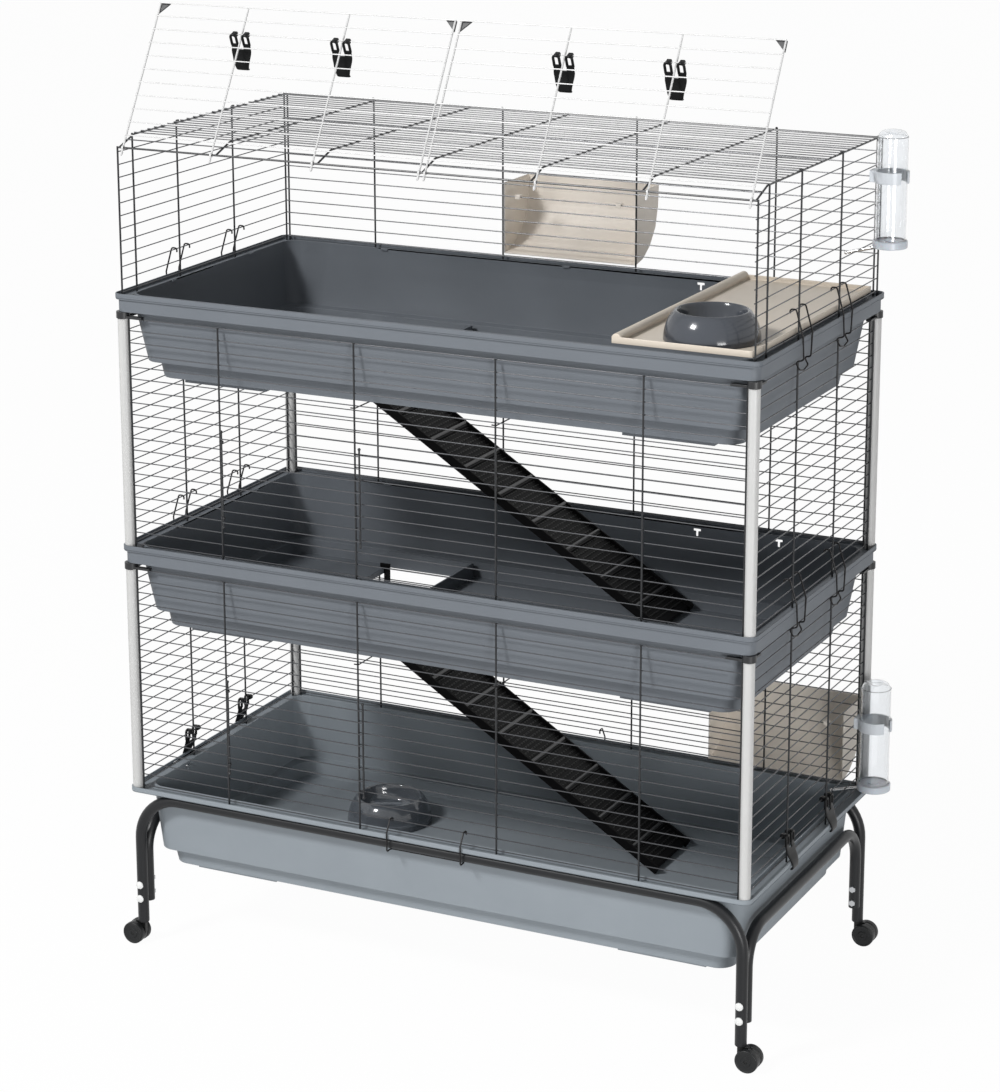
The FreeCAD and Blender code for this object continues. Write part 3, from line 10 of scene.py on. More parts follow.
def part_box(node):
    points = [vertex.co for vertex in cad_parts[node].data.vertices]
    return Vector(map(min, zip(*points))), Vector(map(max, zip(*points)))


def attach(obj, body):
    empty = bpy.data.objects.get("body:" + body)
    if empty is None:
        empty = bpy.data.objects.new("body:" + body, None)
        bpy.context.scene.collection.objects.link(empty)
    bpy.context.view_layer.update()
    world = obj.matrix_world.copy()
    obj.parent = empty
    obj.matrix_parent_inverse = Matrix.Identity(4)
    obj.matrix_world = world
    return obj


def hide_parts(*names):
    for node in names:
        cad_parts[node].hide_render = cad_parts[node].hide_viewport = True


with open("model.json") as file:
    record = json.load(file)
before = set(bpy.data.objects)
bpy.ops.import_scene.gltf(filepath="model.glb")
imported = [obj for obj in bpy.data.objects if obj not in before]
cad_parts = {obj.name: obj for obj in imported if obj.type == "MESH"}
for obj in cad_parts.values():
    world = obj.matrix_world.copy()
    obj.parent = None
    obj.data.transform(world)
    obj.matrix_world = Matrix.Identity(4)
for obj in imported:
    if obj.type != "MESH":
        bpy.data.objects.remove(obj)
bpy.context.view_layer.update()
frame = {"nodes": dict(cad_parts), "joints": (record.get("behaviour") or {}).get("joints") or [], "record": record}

# Stand: four upside-down U tubes of mild steel, bent cold and bolted in pairs at the legs.
# Black powder coat hides the weld seam and leaves a fine orange peel.
TUBE_RADIUS = 0.010
TUBE_SIDES = 32
LONG_BEND, SHORT_BEND = 0.080, 0.060
BEND_STEPS = 14
CLOUD_GRAINS, CLOUD_DETAIL, GLOSS_DRIFT = 60, 3.0, 0.06
MIX_FIRST, MIX_SECOND, MIX_RESULT = 6, 7, 2
SHARP_ANGLE = 35
bodies = frame["record"]["behaviour"]["bodies"]
body_of = {node: body for body, held in bodies.items() for node in held}


def linear(code):
    """Linear red, green, blue and alpha of an sRGB hex colour: the sRGB curve undone on each part."""
    parts = [int(code[k:k + 2], 16) / 255 for k in (1, 3, 5)]
    return [c / 12.92 if c <= 0.04045 else ((c + 0.055) / 1.055) ** 2.4 for c in parts] + [1.0]


def add_node(tree, kind, settings=None, **links):
    """One shader node: attributes and sockets set by name, and sockets linked from other outputs."""
    made = tree.nodes.new(kind)
    for key, value in (settings or {}).items():
        if key in made.inputs:
            made.inputs[key].default_value = value
        else:
            setattr(made, key, value)
    for key, output in links.items():
        tree.links.new(output, made.inputs[key.replace("_", " ")])
    return made


def surface(name, **settings):
    """A new material, with the shader that carries its plain numbers and colours."""
    made = bpy.data.materials.new(name)
    made.use_nodes = True
    tree = made.node_tree
    shader = tree.nodes["Principled BSDF"]
    for key, value in settings.items():
        shader.inputs[key.replace("_", " ")].default_value = value
    return made, tree, shader


def grained(name, light, dark, roughness, grain_mm, depth_mm, **settings):
    """A material whose colour and gloss drift in cloudy patches sixty grains wide, over an even grain.
    The grain is a noise whose cells are grain_mm across, raised by depth_mm. The grain of real
    moulds and coats is finer and wouldn't show in the render, so it is drawn this coarse."""
    made, tree, shader = surface(name, **settings)
    place = add_node(tree, "ShaderNodeTexCoord").outputs["Object"]
    patches = {"Scale": 1000 / (CLOUD_GRAINS * grain_mm), "Detail": CLOUD_DETAIL}
    clouds = add_node(tree, "ShaderNodeTexNoise", patches, Vector=place).outputs["Fac"]
    shade = add_node(tree, "ShaderNodeMix", {"data_type": "RGBA"}, Factor=clouds)
    shade.inputs[MIX_FIRST].default_value = linear(dark)
    shade.inputs[MIX_SECOND].default_value = linear(light)
    tree.links.new(shade.outputs[MIX_RESULT], shader.inputs["Base Color"])
    drift = {"To Min": roughness + GLOSS_DRIFT, "To Max": roughness - GLOSS_DRIFT}
    gloss = add_node(tree, "ShaderNodeMapRange", drift, Value=clouds)
    tree.links.new(gloss.outputs["Result"], shader.inputs["Roughness"])
    cells = {"Scale": 1000 / grain_mm, "Detail": 1.0}
    grain = add_node(tree, "ShaderNodeTexNoise", cells, Vector=place).outputs["Fac"]
    relief = {"Strength": 1.0, "Distance": depth_mm / 1000}
    bump = add_node(tree, "ShaderNodeBump", relief, Height=grain)
    tree.links.new(bump.outputs["Normal"], shader.inputs["Normal"])
    return made


def shown(name, mesh, finish, node, instead=True):
    """An object for a mesh that rides with a node, takes the given finish and may show instead of it."""
    mesh.materials.append(finish)
    made = bpy.data.objects.new(name, mesh)
    bpy.context.scene.collection.objects.link(made)
    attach(made, body_of[node])
    if instead:
        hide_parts(node)
    return made


def outward_mesh(name, points, faces):
    """A mesh from arrays of points and faces, with every face turned outwards."""
    mesh = bpy.data.meshes.new(name)
    mesh.from_pydata(points.reshape(-1, 3).tolist(), [], [np.asarray(face).tolist() for face in faces])
    skin = bmesh.new()
    skin.from_mesh(mesh)
    bmesh.ops.recalc_face_normals(skin, faces=skin.faces)
    skin.to_mesh(mesh)
    skin.free()
    return mesh


def piece(name, shape, finish, node, instead=True, sharp=SHARP_ANGLE):
    """A shape's points and faces as an object, smooth but for edges over an angle in degrees."""
    mesh = outward_mesh(name, *shape)
    mesh.shade_smooth()
    mesh.set_sharp_from_angle(angle=math.radians(sharp))
    shown(name, mesh, finish, node, instead)


def corners_of(node):
    """The lowest and the highest corner of the box round a node."""
    return [np.array(corner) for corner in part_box(node)]


def lattice(rows, columns, close_rows=False):
    """Quads between neighbours of a grid of points kept row by row, each row a closed ring."""
    row_starts = np.arange(rows if close_rows else rows - 1)
    i, j = [grid.ravel() for grid in np.meshgrid(row_starts, np.arange(columns), indexing="ij")]
    i_next, j_next = (i + 1) % rows, (j + 1) % columns
    return np.stack([i * columns + j, i * columns + j_next,
                     i_next * columns + j_next, i_next * columns + j], 1)


def end_discs(rows, columns):
    """The flat faces that shut the first and the last ring of such a grid."""
    return [np.arange(columns)[::-1], np.arange((rows - 1) * columns, rows * columns)]


def rounded_path(corners, bend, steps):
    """An open line through corner points with each inner corner turned into an arc of radius bend."""
    corners = np.asarray(corners, float)
    out = [corners[:1]]
    for before, here, after in zip(corners, corners[1:], corners[2:]):
        a = (before - here) / np.linalg.norm(before - here)
        b = (after - here) / np.linalg.norm(after - here)
        half = math.acos(float(a @ b)) / 2
        middle = (a + b) / np.linalg.norm(a + b)
        side = (b - a) / np.linalg.norm(b - a)
        turn = np.linspace(-1, 1, steps)[:, None] * (math.pi / 2 - half)
        centre = here + middle * bend / math.sin(half)
        out.append(centre + bend * (side * np.sin(turn) - middle * np.cos(turn)))
    return np.concatenate(out + [corners[-1:]])


def tube(path, radius, sides):
    """A round bar along a line: at each point a circle in the plane that halves the turn there.
    The circle's first direction is carried along the line, so that the bar doesn't twist."""
    steps = np.diff(path, axis=0)
    steps /= np.linalg.norm(steps, axis=1)[:, None]
    along = np.concatenate([steps[:1], steps[:-1] + steps[1:], steps[-1:]])
    along /= np.linalg.norm(along, axis=1)[:, None]
    guide = np.eye(3)[np.argmin(np.abs(along[0]))]
    across = []
    for direction in along:
        guide = guide - direction * (guide @ direction)
        guide = guide / np.linalg.norm(guide)
        across.append(guide)
    across = np.array(across)
    up = np.cross(along, across)
    turn = np.linspace(0, 2 * math.pi, sides, endpoint=False)
    ring = across[:, None] * np.cos(turn)[None, :, None] + up[:, None] * np.sin(turn)[None, :, None]
    points = path[:, None] + radius * ring
    return points, list(lattice(len(path), sides)) + end_discs(len(path), sides)


# Powder coat: nearly black, with soft, wide highlights along the bends.
stand_coat = grained("black powder coat on steel tube", "#1f2022", "#18191b", 0.36, 1.2, 0.04,
                     Specular_IOR_Level=0.3)
for side in ("front", "rear", "left", "right"):
    node = f"stand_{side}_tube"
    lengthwise = side in ("front", "rear")
    run, bend = ((1, 0, 0), LONG_BEND) if lengthwise else ((0, 1, 0), SHORT_BEND)
    low, high = corners_of(node)
    reach = np.array(run) * ((high - low) / 2 - TUBE_RADIUS)
    top, foot = high[2] - TUBE_RADIUS, low[2]
    corners = [np.append(((low + high) / 2 + s * reach)[:2], z)
               for s, z in ((-1, foot), (-1, top), (1, top), (1, foot))]
    path = rounded_path(corners, bend, BEND_STEPS)
    piece(f"{node}_coated", tube(path, TUBE_RADIUS, TUBE_SIDES), stand_coat, node)

# Stand bolts: zinc-plated bolts through the doubled legs, with a hexagon nut on the inner side.
# Each head hides under a pushed-on cap of white polyethylene, a shallow dome with a short skirt.
BOLT_HEIGHTS = (0.087, 0.113)
CAP_RADIUS, CAP_HEIGHT, CAP_SKIRT = 0.007, 0.004, 0.001
DOME_TURN, DOME_STEPS = 0.49 * math.pi, 8
BOLT_RADIUS, BOLT_LENGTH = 0.003, 0.043
NUT_MM = [(5.4, -44), (6, -43.4), (6, -40.2)]
NUT_SIDES, ROUND_SIDES = 6, 24


def lathe(profile, centre, up, sides, closed=False):
    """A round solid: each (radius, height) of a profile swept through a whole turn about a line.
    An open profile is shut by a flat disc at each end, a closed one joins up with its start."""
    radius, height = np.asarray(profile, float).T
    up = np.asarray(up, float) / np.linalg.norm(up)
    across = np.cross(np.eye(3)[np.argmin(np.abs(up))], up)
    across /= np.linalg.norm(across)
    other = np.cross(up, across)
    turn = np.linspace(0, 2 * math.pi, sides, endpoint=False)
    ring = across * np.cos(turn)[:, None] + other * np.sin(turn)[:, None]
    points = np.asarray(centre) + radius[:, None, None] * ring + height[:, None, None] * up
    faces = list(lattice(len(radius), sides, closed))
    return points, faces if closed else faces + end_discs(len(radius), sides)


def joined(shapes):
    """Several shapes as one, with each one's faces counted on from the points before it."""
    points, faces, start = [], [], 0
    for some_points, some_faces in shapes:
        points.append(some_points.reshape(-1, 3))
        faces += [np.asarray(face) + start for face in some_faces]
        start += len(points[-1])
    return np.concatenate(points), faces


bolt_low, bolt_high = corners_of("stand_bolts")
leg_x = bolt_high[0] - CAP_RADIUS
arch = np.linspace(0, DOME_TURN, DOME_STEPS)
dome = np.stack([CAP_RADIUS * np.cos(arch), CAP_SKIRT + (CAP_HEIGHT - CAP_SKIRT) * np.sin(arch)], 1)
dome = np.concatenate([[(CAP_RADIUS, 0)], dome])
shank = [(BOLT_RADIUS, -BOLT_LENGTH), (BOLT_RADIUS, 0)]
nut = np.array(NUT_MM) / 1000
caps, nuts = [], []
for face, out in ((bolt_low[1] + CAP_HEIGHT, -1), (bolt_high[1] - CAP_HEIGHT, 1)):
    for x in (-leg_x, leg_x):
        for z in BOLT_HEIGHTS:
            centre, axis = (x, face, z), (0, out, 0)
            caps.append(lathe(dome, centre, axis, ROUND_SIDES))
            nuts += [lathe(shank, centre, axis, ROUND_SIDES), lathe(nut, centre, axis, NUT_SIDES)]
# Polyethylene: a waxy white with blurred highlights. Zinc plate: a bright, slightly clouded metal.
cap_white = grained("white polyethylene", "#e2e3e2", "#dadbda", 0.42, 1.5, 0.02)
zinc = grained("zinc plate on steel", "#c2c4c6", "#b0b2b5", 0.35, 1.0, 0.01, Metallic=1.0)
piece("stand_bolt_caps", joined(caps), cap_white, "stand_bolts")
piece("stand_bolt_nuts", joined(nuts), zinc, "stand_bolts", instead=False)

# Casters: a nylon fork on a steel stem that turns in the leg, and two nylon wheels on one axle.
# Each wheel has a rounded tread, a sunk ring in its outer face and a flat hub.
CASTER_EDGE = 0.0008
WHEEL_RADIUS, WHEEL_WIDTH, WHEEL_SIDES = 0.020, 0.012, 48
TREAD_ROUND, TREAD_STEPS = 0.0025, 6
WHEEL_BACK_MM = [(3.1, 0.4), (16, 0.4)]
WHEEL_FACE_MM = [(16, 11.2), (15, 10.8), (8.6, 10.8), (7.8, 11.8), (3.1, 11.8)]
MERGE = 1e-6
FLAT_ANGLE, EDGE_ANGLE, EDGE_SEGMENTS = 1, 40, 3


def moulded(node, finish, radius):
    """A copy of a node's solid with its points merged, its flat faces joined and its edges rounded."""
    name = f"{node}_moulding"
    solid = bmesh.new()
    solid.from_mesh(frame["nodes"][node].data)
    bmesh.ops.remove_doubles(solid, verts=solid.verts, dist=MERGE)
    bmesh.ops.dissolve_limit(solid, angle_limit=math.radians(FLAT_ANGLE),
                             verts=solid.verts, edges=solid.edges)
    mesh = bpy.data.meshes.new(name)
    solid.to_mesh(mesh)
    solid.free()
    if "custom_normal" in mesh.attributes:
        mesh.attributes.remove(mesh.attributes["custom_normal"])
    mesh.shade_smooth()
    made = shown(name, mesh, finish, node)
    edges = made.modifiers.new("rounded edges", "BEVEL")
    edges.width = radius
    edges.segments = EDGE_SEGMENTS
    edges.limit_method = "ANGLE"
    edges.angle_limit = math.radians(EDGE_ANGLE)
    edges.use_clamp_overlap = False
    edges.harden_normals = True
    return made


turn = np.linspace(-math.pi / 2, 0, TREAD_STEPS)
tread_in = np.stack([WHEEL_RADIUS + TREAD_ROUND * (np.cos(turn) - 1), TREAD_ROUND * (1 + np.sin(turn))], 1)
tread_out = ((0, WHEEL_WIDTH) + tread_in * (1, -1))[::-1]
wheel_profile = np.concatenate([np.array(WHEEL_BACK_MM) / 1000, tread_in, tread_out,
                                np.array(WHEEL_FACE_MM) / 1000])
# Nylon: deep black forks with a dull sheen, and treads a shade greyer from the floor.
nylon = grained("black nylon", "#161717", "#0f1010", 0.38, 1.0, 0.03, Specular_IOR_Level=0.3)
tread_nylon = grained("charcoal nylon tread", "#202122", "#18191a", 0.42, 1.0, 0.03,
                      Specular_IOR_Level=0.25)
for corner in ("front_left", "front_right", "rear_left", "rear_right"):
    moulded(f"caster_{corner}", nylon, CASTER_EDGE)
    low, high = corners_of(f"wheels_{corner}")
    middle, inner = (low + high) / 2, (high[1] - low[1]) / 2 - WHEEL_WIDTH
    pair = [lathe(wheel_profile, middle + (0, out * inner, 0), (0, out, 0), WHEEL_SIDES, closed=True)
            for out in (-1, 1)]
    piece(f"wheels_{corner}_turned", joined(pair), tread_nylon, f"wheels_{corner}")

# Trays: injection-moulded polypropylene tubs that stack on the posts, the lowest on the stand tubes.
# Along the rim runs a narrow channel behind a thin outer lip; the feet of the wires and posts stand
# in it. Every edge is rounded to let the part out of its mould.
TRAY_EDGE = 0.0008
LIP_THICK, RIM_CORNER, WALL_CORNER, CORNER_STEPS = 0.0025, 0.016, 0.028, 10
CHANNEL_DEPTH = {"tray_bottom": 0.007, "tray_middle": 0.008, "tray_top": 0.008}
WALL_INSET = {"tray_bottom": 0.025, "tray_middle": 0.0205, "tray_top": 0.0205}
WALL_DROP = {"tray_bottom": 0.001, "tray_middle": 0.004, "tray_top": 0.004}
RIM_SKIN, WALL_SINK, FLOOR_SINK = 0.0004, 0.001, 0.0012
CHANNEL_CLEAR, WALL_CLEAR, WALL_CUT = 0.005, 0.006, 0.012
RIM_MERGE = 1e-5
half_x, half_y = corners_of("tray_top")[1][:2]


def rounded_plan(inset, corner):
    """The plan of a tray at an inset from its rim edge: quarter circles about the four corners, in turn."""
    turn = np.linspace(0, math.pi / 2, CORNER_STEPS) + np.arange(4)[:, None] * math.pi / 2
    middle = np.array([half_x, half_y]) - inset - corner
    sign = np.array([(1, 1), (-1, 1), (-1, -1), (1, -1)])
    arcs = corner * np.stack([np.cos(turn), np.sin(turn)], -1) + (sign * middle)[:, None]
    return arcs.reshape(-1, 2)


def rim_band(outer, outer_corner, inner, low, high):
    """A band round a tray between two insets and two heights: four plans joined in a closed ring."""
    plans = [(outer, outer_corner, low), (outer, outer_corner, high),
             (inner, WALL_CORNER, high), (inner, WALL_CORNER, low)]
    points = np.stack([np.insert(rounded_plan(inset, corner), 2, z, axis=1) for inset, corner, z in plans])
    mesh = outward_mesh("band", points, lattice(len(plans), points.shape[1], True))
    return bpy.data.objects.new("band", mesh)


def with_channel(tray, node):
    """A tray copy with the channel in its rim: a floor band added, then channel and wall top cut away."""
    rim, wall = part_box(node)[1][2], WALL_INSET[node]
    floor = rim - CHANNEL_DEPTH[node]
    under = floor - (LIP_THICK / 2 if node == "tray_bottom" else LIP_THICK)
    channel_floor = rim_band(RIM_SKIN, RIM_CORNER, wall + WALL_SINK, under, floor + FLOOR_SINK)
    channel = rim_band(LIP_THICK, RIM_CORNER - LIP_THICK, wall - RIM_SKIN, floor, rim + CHANNEL_CLEAR)
    wall_top = rim_band(wall - WALL_SINK, WALL_CORNER, wall + WALL_CUT,
                        rim - WALL_DROP[node], rim + WALL_CLEAR)
    cutters = []
    for kind, band in (("UNION", channel_floor), ("DIFFERENCE", channel), ("DIFFERENCE", wall_top)):
        bpy.context.scene.collection.objects.link(band)
        cutter = tray.modifiers.new("rim", "BOOLEAN")
        cutter.operation = kind
        cutter.solver = "EXACT"
        cutter.object = band
        cutters.append((cutter, band))
    edges = tray.modifiers["rounded edges"]
    edges.show_viewport = False
    bpy.context.view_layer.update()
    shaped = bpy.data.meshes.new_from_object(tray.evaluated_get(bpy.context.evaluated_depsgraph_get()))
    for cutter, band in cutters:
        tray.modifiers.remove(cutter)
        bpy.data.objects.remove(band)
    solid = bmesh.new()
    solid.from_mesh(shaped)
    bmesh.ops.remove_doubles(solid, verts=solid.verts, dist=RIM_MERGE)
    bmesh.ops.triangulate(solid, faces=solid.faces)
    solid.to_mesh(shaped)
    solid.free()
    shaped.shade_smooth()
    tray.data = shaped
    edges.show_viewport = True


# Polypropylene from a spark-eroded mould: an even, matt grey that shades softly. The base tray is the same
# plastic, painted paler to stand in for the stronger light it gets.
tray_grey = grained("slate grey polypropylene", "#6c7177", "#64696f", 0.50, 1.6, 0.05,
                    Specular_IOR_Level=0.2)
base_tray_painted_paler = grained("mid grey polypropylene", "#8c9399", "#838a90", 0.50, 1.6, 0.05,
                    Specular_IOR_Level=0.2)
for node, finish in (("tray_bottom", base_tray_painted_paler), ("tray_middle", tray_grey), ("tray_top", tray_grey)):
    with_channel(moulded(node, finish, TRAY_EDGE), node)

# Corner posts: straight steel tubes, one storey high, under each corner of the two upper trays.
# They are powder-coated white; the cut ends are slightly rolled in.
POST_RADIUS, POST_ROLL = 0.0095, 0.0008
post_high = corners_of("corner_posts")[1]
line_x, line_y = post_high[:2] - POST_RADIUS
rims = [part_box(tray)[1][2] for tray in CHANNEL_DEPTH]
channels = list(CHANNEL_DEPTH.values())
post_tall = post_high[2] - rims[1]
posts = []
for rim, channel in zip(rims[:2], channels):
    profile = [(POST_RADIUS - POST_ROLL, -channel), (POST_RADIUS, POST_ROLL - channel),
               (POST_RADIUS, post_tall - POST_ROLL), (POST_RADIUS - POST_ROLL, post_tall)]
    for x in (-line_x, line_x):
        posts += [lathe(profile, (x, y, rim), (0, 0, 1), TUBE_SIDES) for y in (-line_y, line_y)]
# White powder coat: satin, with a fine orange peel that shades evenly round the tube.
post_white = grained("white powder coat on steel tube", "#c0c0bf", "#b8b8b7", 0.38, 1.2, 0.02)
piece("corner_posts_coated", joined(posts), post_white, "corner_posts")

# Post connectors: black ABS sockets on top of the posts, with an arm along each panel.
# They carry the corners of the tray above and catch the top rows of the panels below.
CONNECTOR_EDGE = 0.0007
# ABS: a dense black that shows its edges by small highlights.
connector_black = grained("black ABS", "#1d1e20", "#161719", 0.42, 1.2, 0.03)
moulded("post_connectors", connector_black, CONNECTOR_EDGE)

# Wire panels of the two lower storeys: drawn steel wire, thick uprights with thin rows welded to
# their inner side. Rows sink a little into the uprights at each weld, and enamel covers both.
ROW_GAUGE, UPRIGHT_GAUGE = 0.0020, 0.0034
WELD = 0.0003
WIRE_SIDES = 8
BAY, SIDE_BAY = 0.260, 0.186
STOREY_ROWS = 20
HATCH_ROWS = range(3, 11)
HEXAGON = 1 / math.sqrt(3)
FIRST_ROW, WIRE_CORNER = ROW_GAUGE * HEXAGON, UPRIGHT_GAUGE * HEXAGON
LAY = (UPRIGHT_GAUGE + ROW_GAUGE) / 2 - WELD
EYE_HEIGHTS = (0.072, 0.206)
EYE_RADIUS, EYE_WIRE, EYE_SIDES = 0.0030, 0.0010, 16
hinge_of = {joint["child"]: np.array(joint["pos_m"]) for joint in frame["joints"] if "pos_m" in joint}


def bars(starts, ends, gauge):
    """Straight round wires, all at once: two rings of points about each line from a start to an end."""
    starts, ends = np.asarray(starts, float), np.asarray(ends, float)
    along = ends - starts
    along /= np.linalg.norm(along, axis=1)[:, None]
    across = np.cross(along, np.eye(3)[np.argmin(np.abs(along), axis=1)])
    across /= np.linalg.norm(across, axis=1)[:, None]
    up = np.cross(along, across)
    turn = np.linspace(0, 2 * math.pi, WIRE_SIDES, endpoint=False)[None, :, None]
    ring = gauge / 2 * (across[:, None] * np.cos(turn) + up[:, None] * np.sin(turn))
    points = np.stack([starts[:, None] + ring, ends[:, None] + ring], 1)
    first = np.arange(len(starts))[:, None, None] * 2 * WIRE_SIDES
    sides = (lattice(2, WIRE_SIDES) + first).reshape(-1, 4)
    shut = (np.stack(end_discs(2, WIRE_SIDES)) + first).reshape(-1, WIRE_SIDES)
    return points, list(sides) + list(shut)


def stood(drawn, side):
    """Points of a panel drawn flat as (along, inward, height), turned to stand on a side of the cage."""
    along, inward, height = np.moveaxis(np.asarray(drawn, float), -1, 0)
    return np.stack({
        "front": (along, inward - line_y, height),
        "rear": (-along, line_y - inward, height),
        "left": (inward - line_x, -along, height),
        "right": (line_x - inward, along, height),
    }[side], -1)


def uprights(places, low, high, side):
    """Upright wires of a panel at places along it."""
    feet, tops = [stood([(u, 0, z) for u in places], side) for z in (low, high)]
    return bars(feet, tops, UPRIGHT_GAUGE)


def rows(spans, side):
    """Row wires of a panel, each given as start, end and height."""
    starts = stood([(a, LAY, z) for a, b, z in spans], side)
    ends = stood([(b, LAY, z) for a, b, z in spans], side)
    return bars(starts, ends, ROW_GAUGE)


def eye(centre, axis):
    """A wire bent into an eye: a small circle carried round a larger one, drawn out along the axis."""
    turn = np.linspace(0, 2 * math.pi, WIRE_SIDES, endpoint=False)
    loop = np.stack([EYE_RADIUS + EYE_WIRE * np.cos(turn), 2 * EYE_WIRE * np.sin(turn)], 1)
    return lathe(loop, centre, axis, EYE_SIDES, closed=True)


# Enamel on wire: one black enamel on all wires, so the thick uprights read as dark lines. The thin rows are
# painted a lighter, more metallic grey, a painted highlight for the light they catch.
wire_black = grained("black enamel on thick drawn wire", "#2c2d2f", "#242527", 0.30, 1.0, 0.01,
                     Specular_IOR_Level=0.3)
rows_painted_lighter = grained("smoke grey enamel on thin drawn wire", "#48494c", "#3f4043", 0.28, 1.0, 0.01,
                      Metallic=0.3)
row_heights = np.linspace(FIRST_ROW, post_tall - FIRST_ROW, STOREY_ROWS)
for storey, rim, channel in zip(("lower", "middle"), rims, channels):
    for side in ("front", "rear", "left", "right"):
        node = f"panel_{storey}_{side}"
        low, high = corners_of(node)
        edge = (high - low)[0 if side in ("front", "rear") else 1] / 2 - WIRE_CORNER
        places = [-edge, -0.5 * SIDE_BAY, 0.5 * SIDE_BAY, edge]
        if side in ("front", "rear"):
            places = [-edge, -1.5 * BAY, -0.5 * BAY, 0.5 * BAY, 1.5 * BAY, edge]
        out = edge + UPRIGHT_GAUGE / 2
        spans = []
        for k, z in enumerate(row_heights + rim):
            if side == "front" and k in HATCH_ROWS:
                spans += [(-out, -1.5 * BAY + UPRIGHT_GAUGE / 2, z),
                          (-0.5 * BAY - UPRIGHT_GAUGE / 2, out, z)]
            else:
                spans.append((-out, out, z))
        wires = [uprights(places, rim - channel, rim + post_tall, side)]
        if side == "front":
            hinge = hinge_of[f"small_door_{storey}"]
            wires += [eye((hinge[0], hinge[1], rim + z), (0, 0, 1)) for z in EYE_HEIGHTS]
        piece(f"{node}_uprights", joined(wires), wire_black, node)
        piece(f"{node}_rows", rows(spans, side), rows_painted_lighter, node, instead=False)

# Small doors: a hinge rod and a latch rod of thick wire with rows of thin wire between them.
# The rods turn in wire eyes of the panel, and their ends are upset into small round knobs.
KNOB_RADIUS, KNOB_TURN, KNOB_STEPS, KNOB_SIDES = 0.0027, 0.48 * math.pi, 8, 12
HATCH_FOOT = 0.052
neck = math.acos(UPRIGHT_GAUGE / 2 / KNOB_RADIUS)
ball = np.linspace(-KNOB_TURN, neck, KNOB_STEPS)
knob = np.stack([KNOB_RADIUS * np.cos(ball), KNOB_RADIUS * (1 + np.sin(ball))], 1)
for storey in ("lower", "middle"):
    node = f"small_door_{storey}"
    low, high = corners_of(node)
    hinge_x, hinge_y = hinge_of[node][:2]
    latch_x = high[0] - UPRIGHT_GAUGE / 2
    rod = np.concatenate([knob, (0, high[2] - low[2]) + knob[::-1] * (1, -1)])
    rods = [lathe(rod, (x, hinge_y, low[2]), (0, 0, 1), KNOB_SIDES) for x in (hinge_x, latch_x)]
    heights = row_heights[HATCH_ROWS] + low[2] - HATCH_FOOT
    starts = [(hinge_x, hinge_y - LAY, z) for z in heights]
    ends = [(high[0], hinge_y - LAY, z) for z in heights]
    piece(f"{node}_rods", joined(rods), wire_black, node)
    piece(f"{node}_rows", bars(starts, ends, ROW_GAUGE), rows_painted_lighter, node, instead=False)

# Upper storey: rear and side panels of the same wire, their uprights bent in over the edge of the roof.
# The side panels slope with the roof at the front.
TOP_ROWS, TOP_ROWS_RISE = 12, 0.242
ROOF_RISE, RAIL_DROP, BEVEL_RUN = 0.265, 0.016, 0.046
HOOK_BEND, HOOK_REACH, HOOK_STEPS = 0.0026, 0.0051, 5
top_rim = rims[2]
top_heights = np.linspace(FIRST_ROW, TOP_ROWS_RISE, TOP_ROWS) + top_rim
top_foot = top_rim - channels[2]
top_end = top_rim + ROOF_RISE + UPRIGHT_GAUGE / 2
rail_end = top_end - RAIL_DROP


def hooked(places, side):
    """Uprights whose ends are bent in over the edge wire of the roof."""
    top = top_end + UPRIGHT_GAUGE / 2
    lines = [stood([(u, 0, top_foot), (u, 0, top), (u, HOOK_REACH, top)], side) for u in places]
    return [tube(rounded_path(line, HOOK_BEND, HOOK_STEPS), UPRIGHT_GAUGE / 2, WIRE_SIDES)
            for line in lines]


top_edge = line_x - 2 * UPRIGHT_GAUGE
rear_out, side_out = top_edge + UPRIGHT_GAUGE / 2, line_y + UPRIGHT_GAUGE / 2
wires = hooked([-1.5 * BAY, -0.5 * BAY, 0.5 * BAY, 1.5 * BAY], "rear")
wires.append(uprights([-top_edge, top_edge], top_foot, top_end, "rear"))
rear_rows = rows([(-rear_out, rear_out, z) for z in top_heights], "rear")
piece("panel_top_rear_uprights", joined(wires), wire_black, "panel_top_rear")
piece("panel_top_rear_rows", rear_rows, rows_painted_lighter, "panel_top_rear", instead=False)
for side, front in (("left", 1), ("right", -1)):
    wires = hooked([-0.5 * SIDE_BAY, 0.5 * SIDE_BAY], side)
    wires.append(uprights([front * (line_y - BEVEL_RUN), -front * line_y], top_foot, top_end, side))
    wires.append(uprights([front * line_y], top_foot, rail_end, side))
    side_rows = rows([(-side_out, side_out, z) for z in top_heights], side)
    piece(f"panel_top_{side}_uprights", joined(wires), wire_black, f"panel_top_{side}")
    piece(f"panel_top_{side}_rows", side_rows, rows_painted_lighter, f"panel_top_{side}", instead=False)

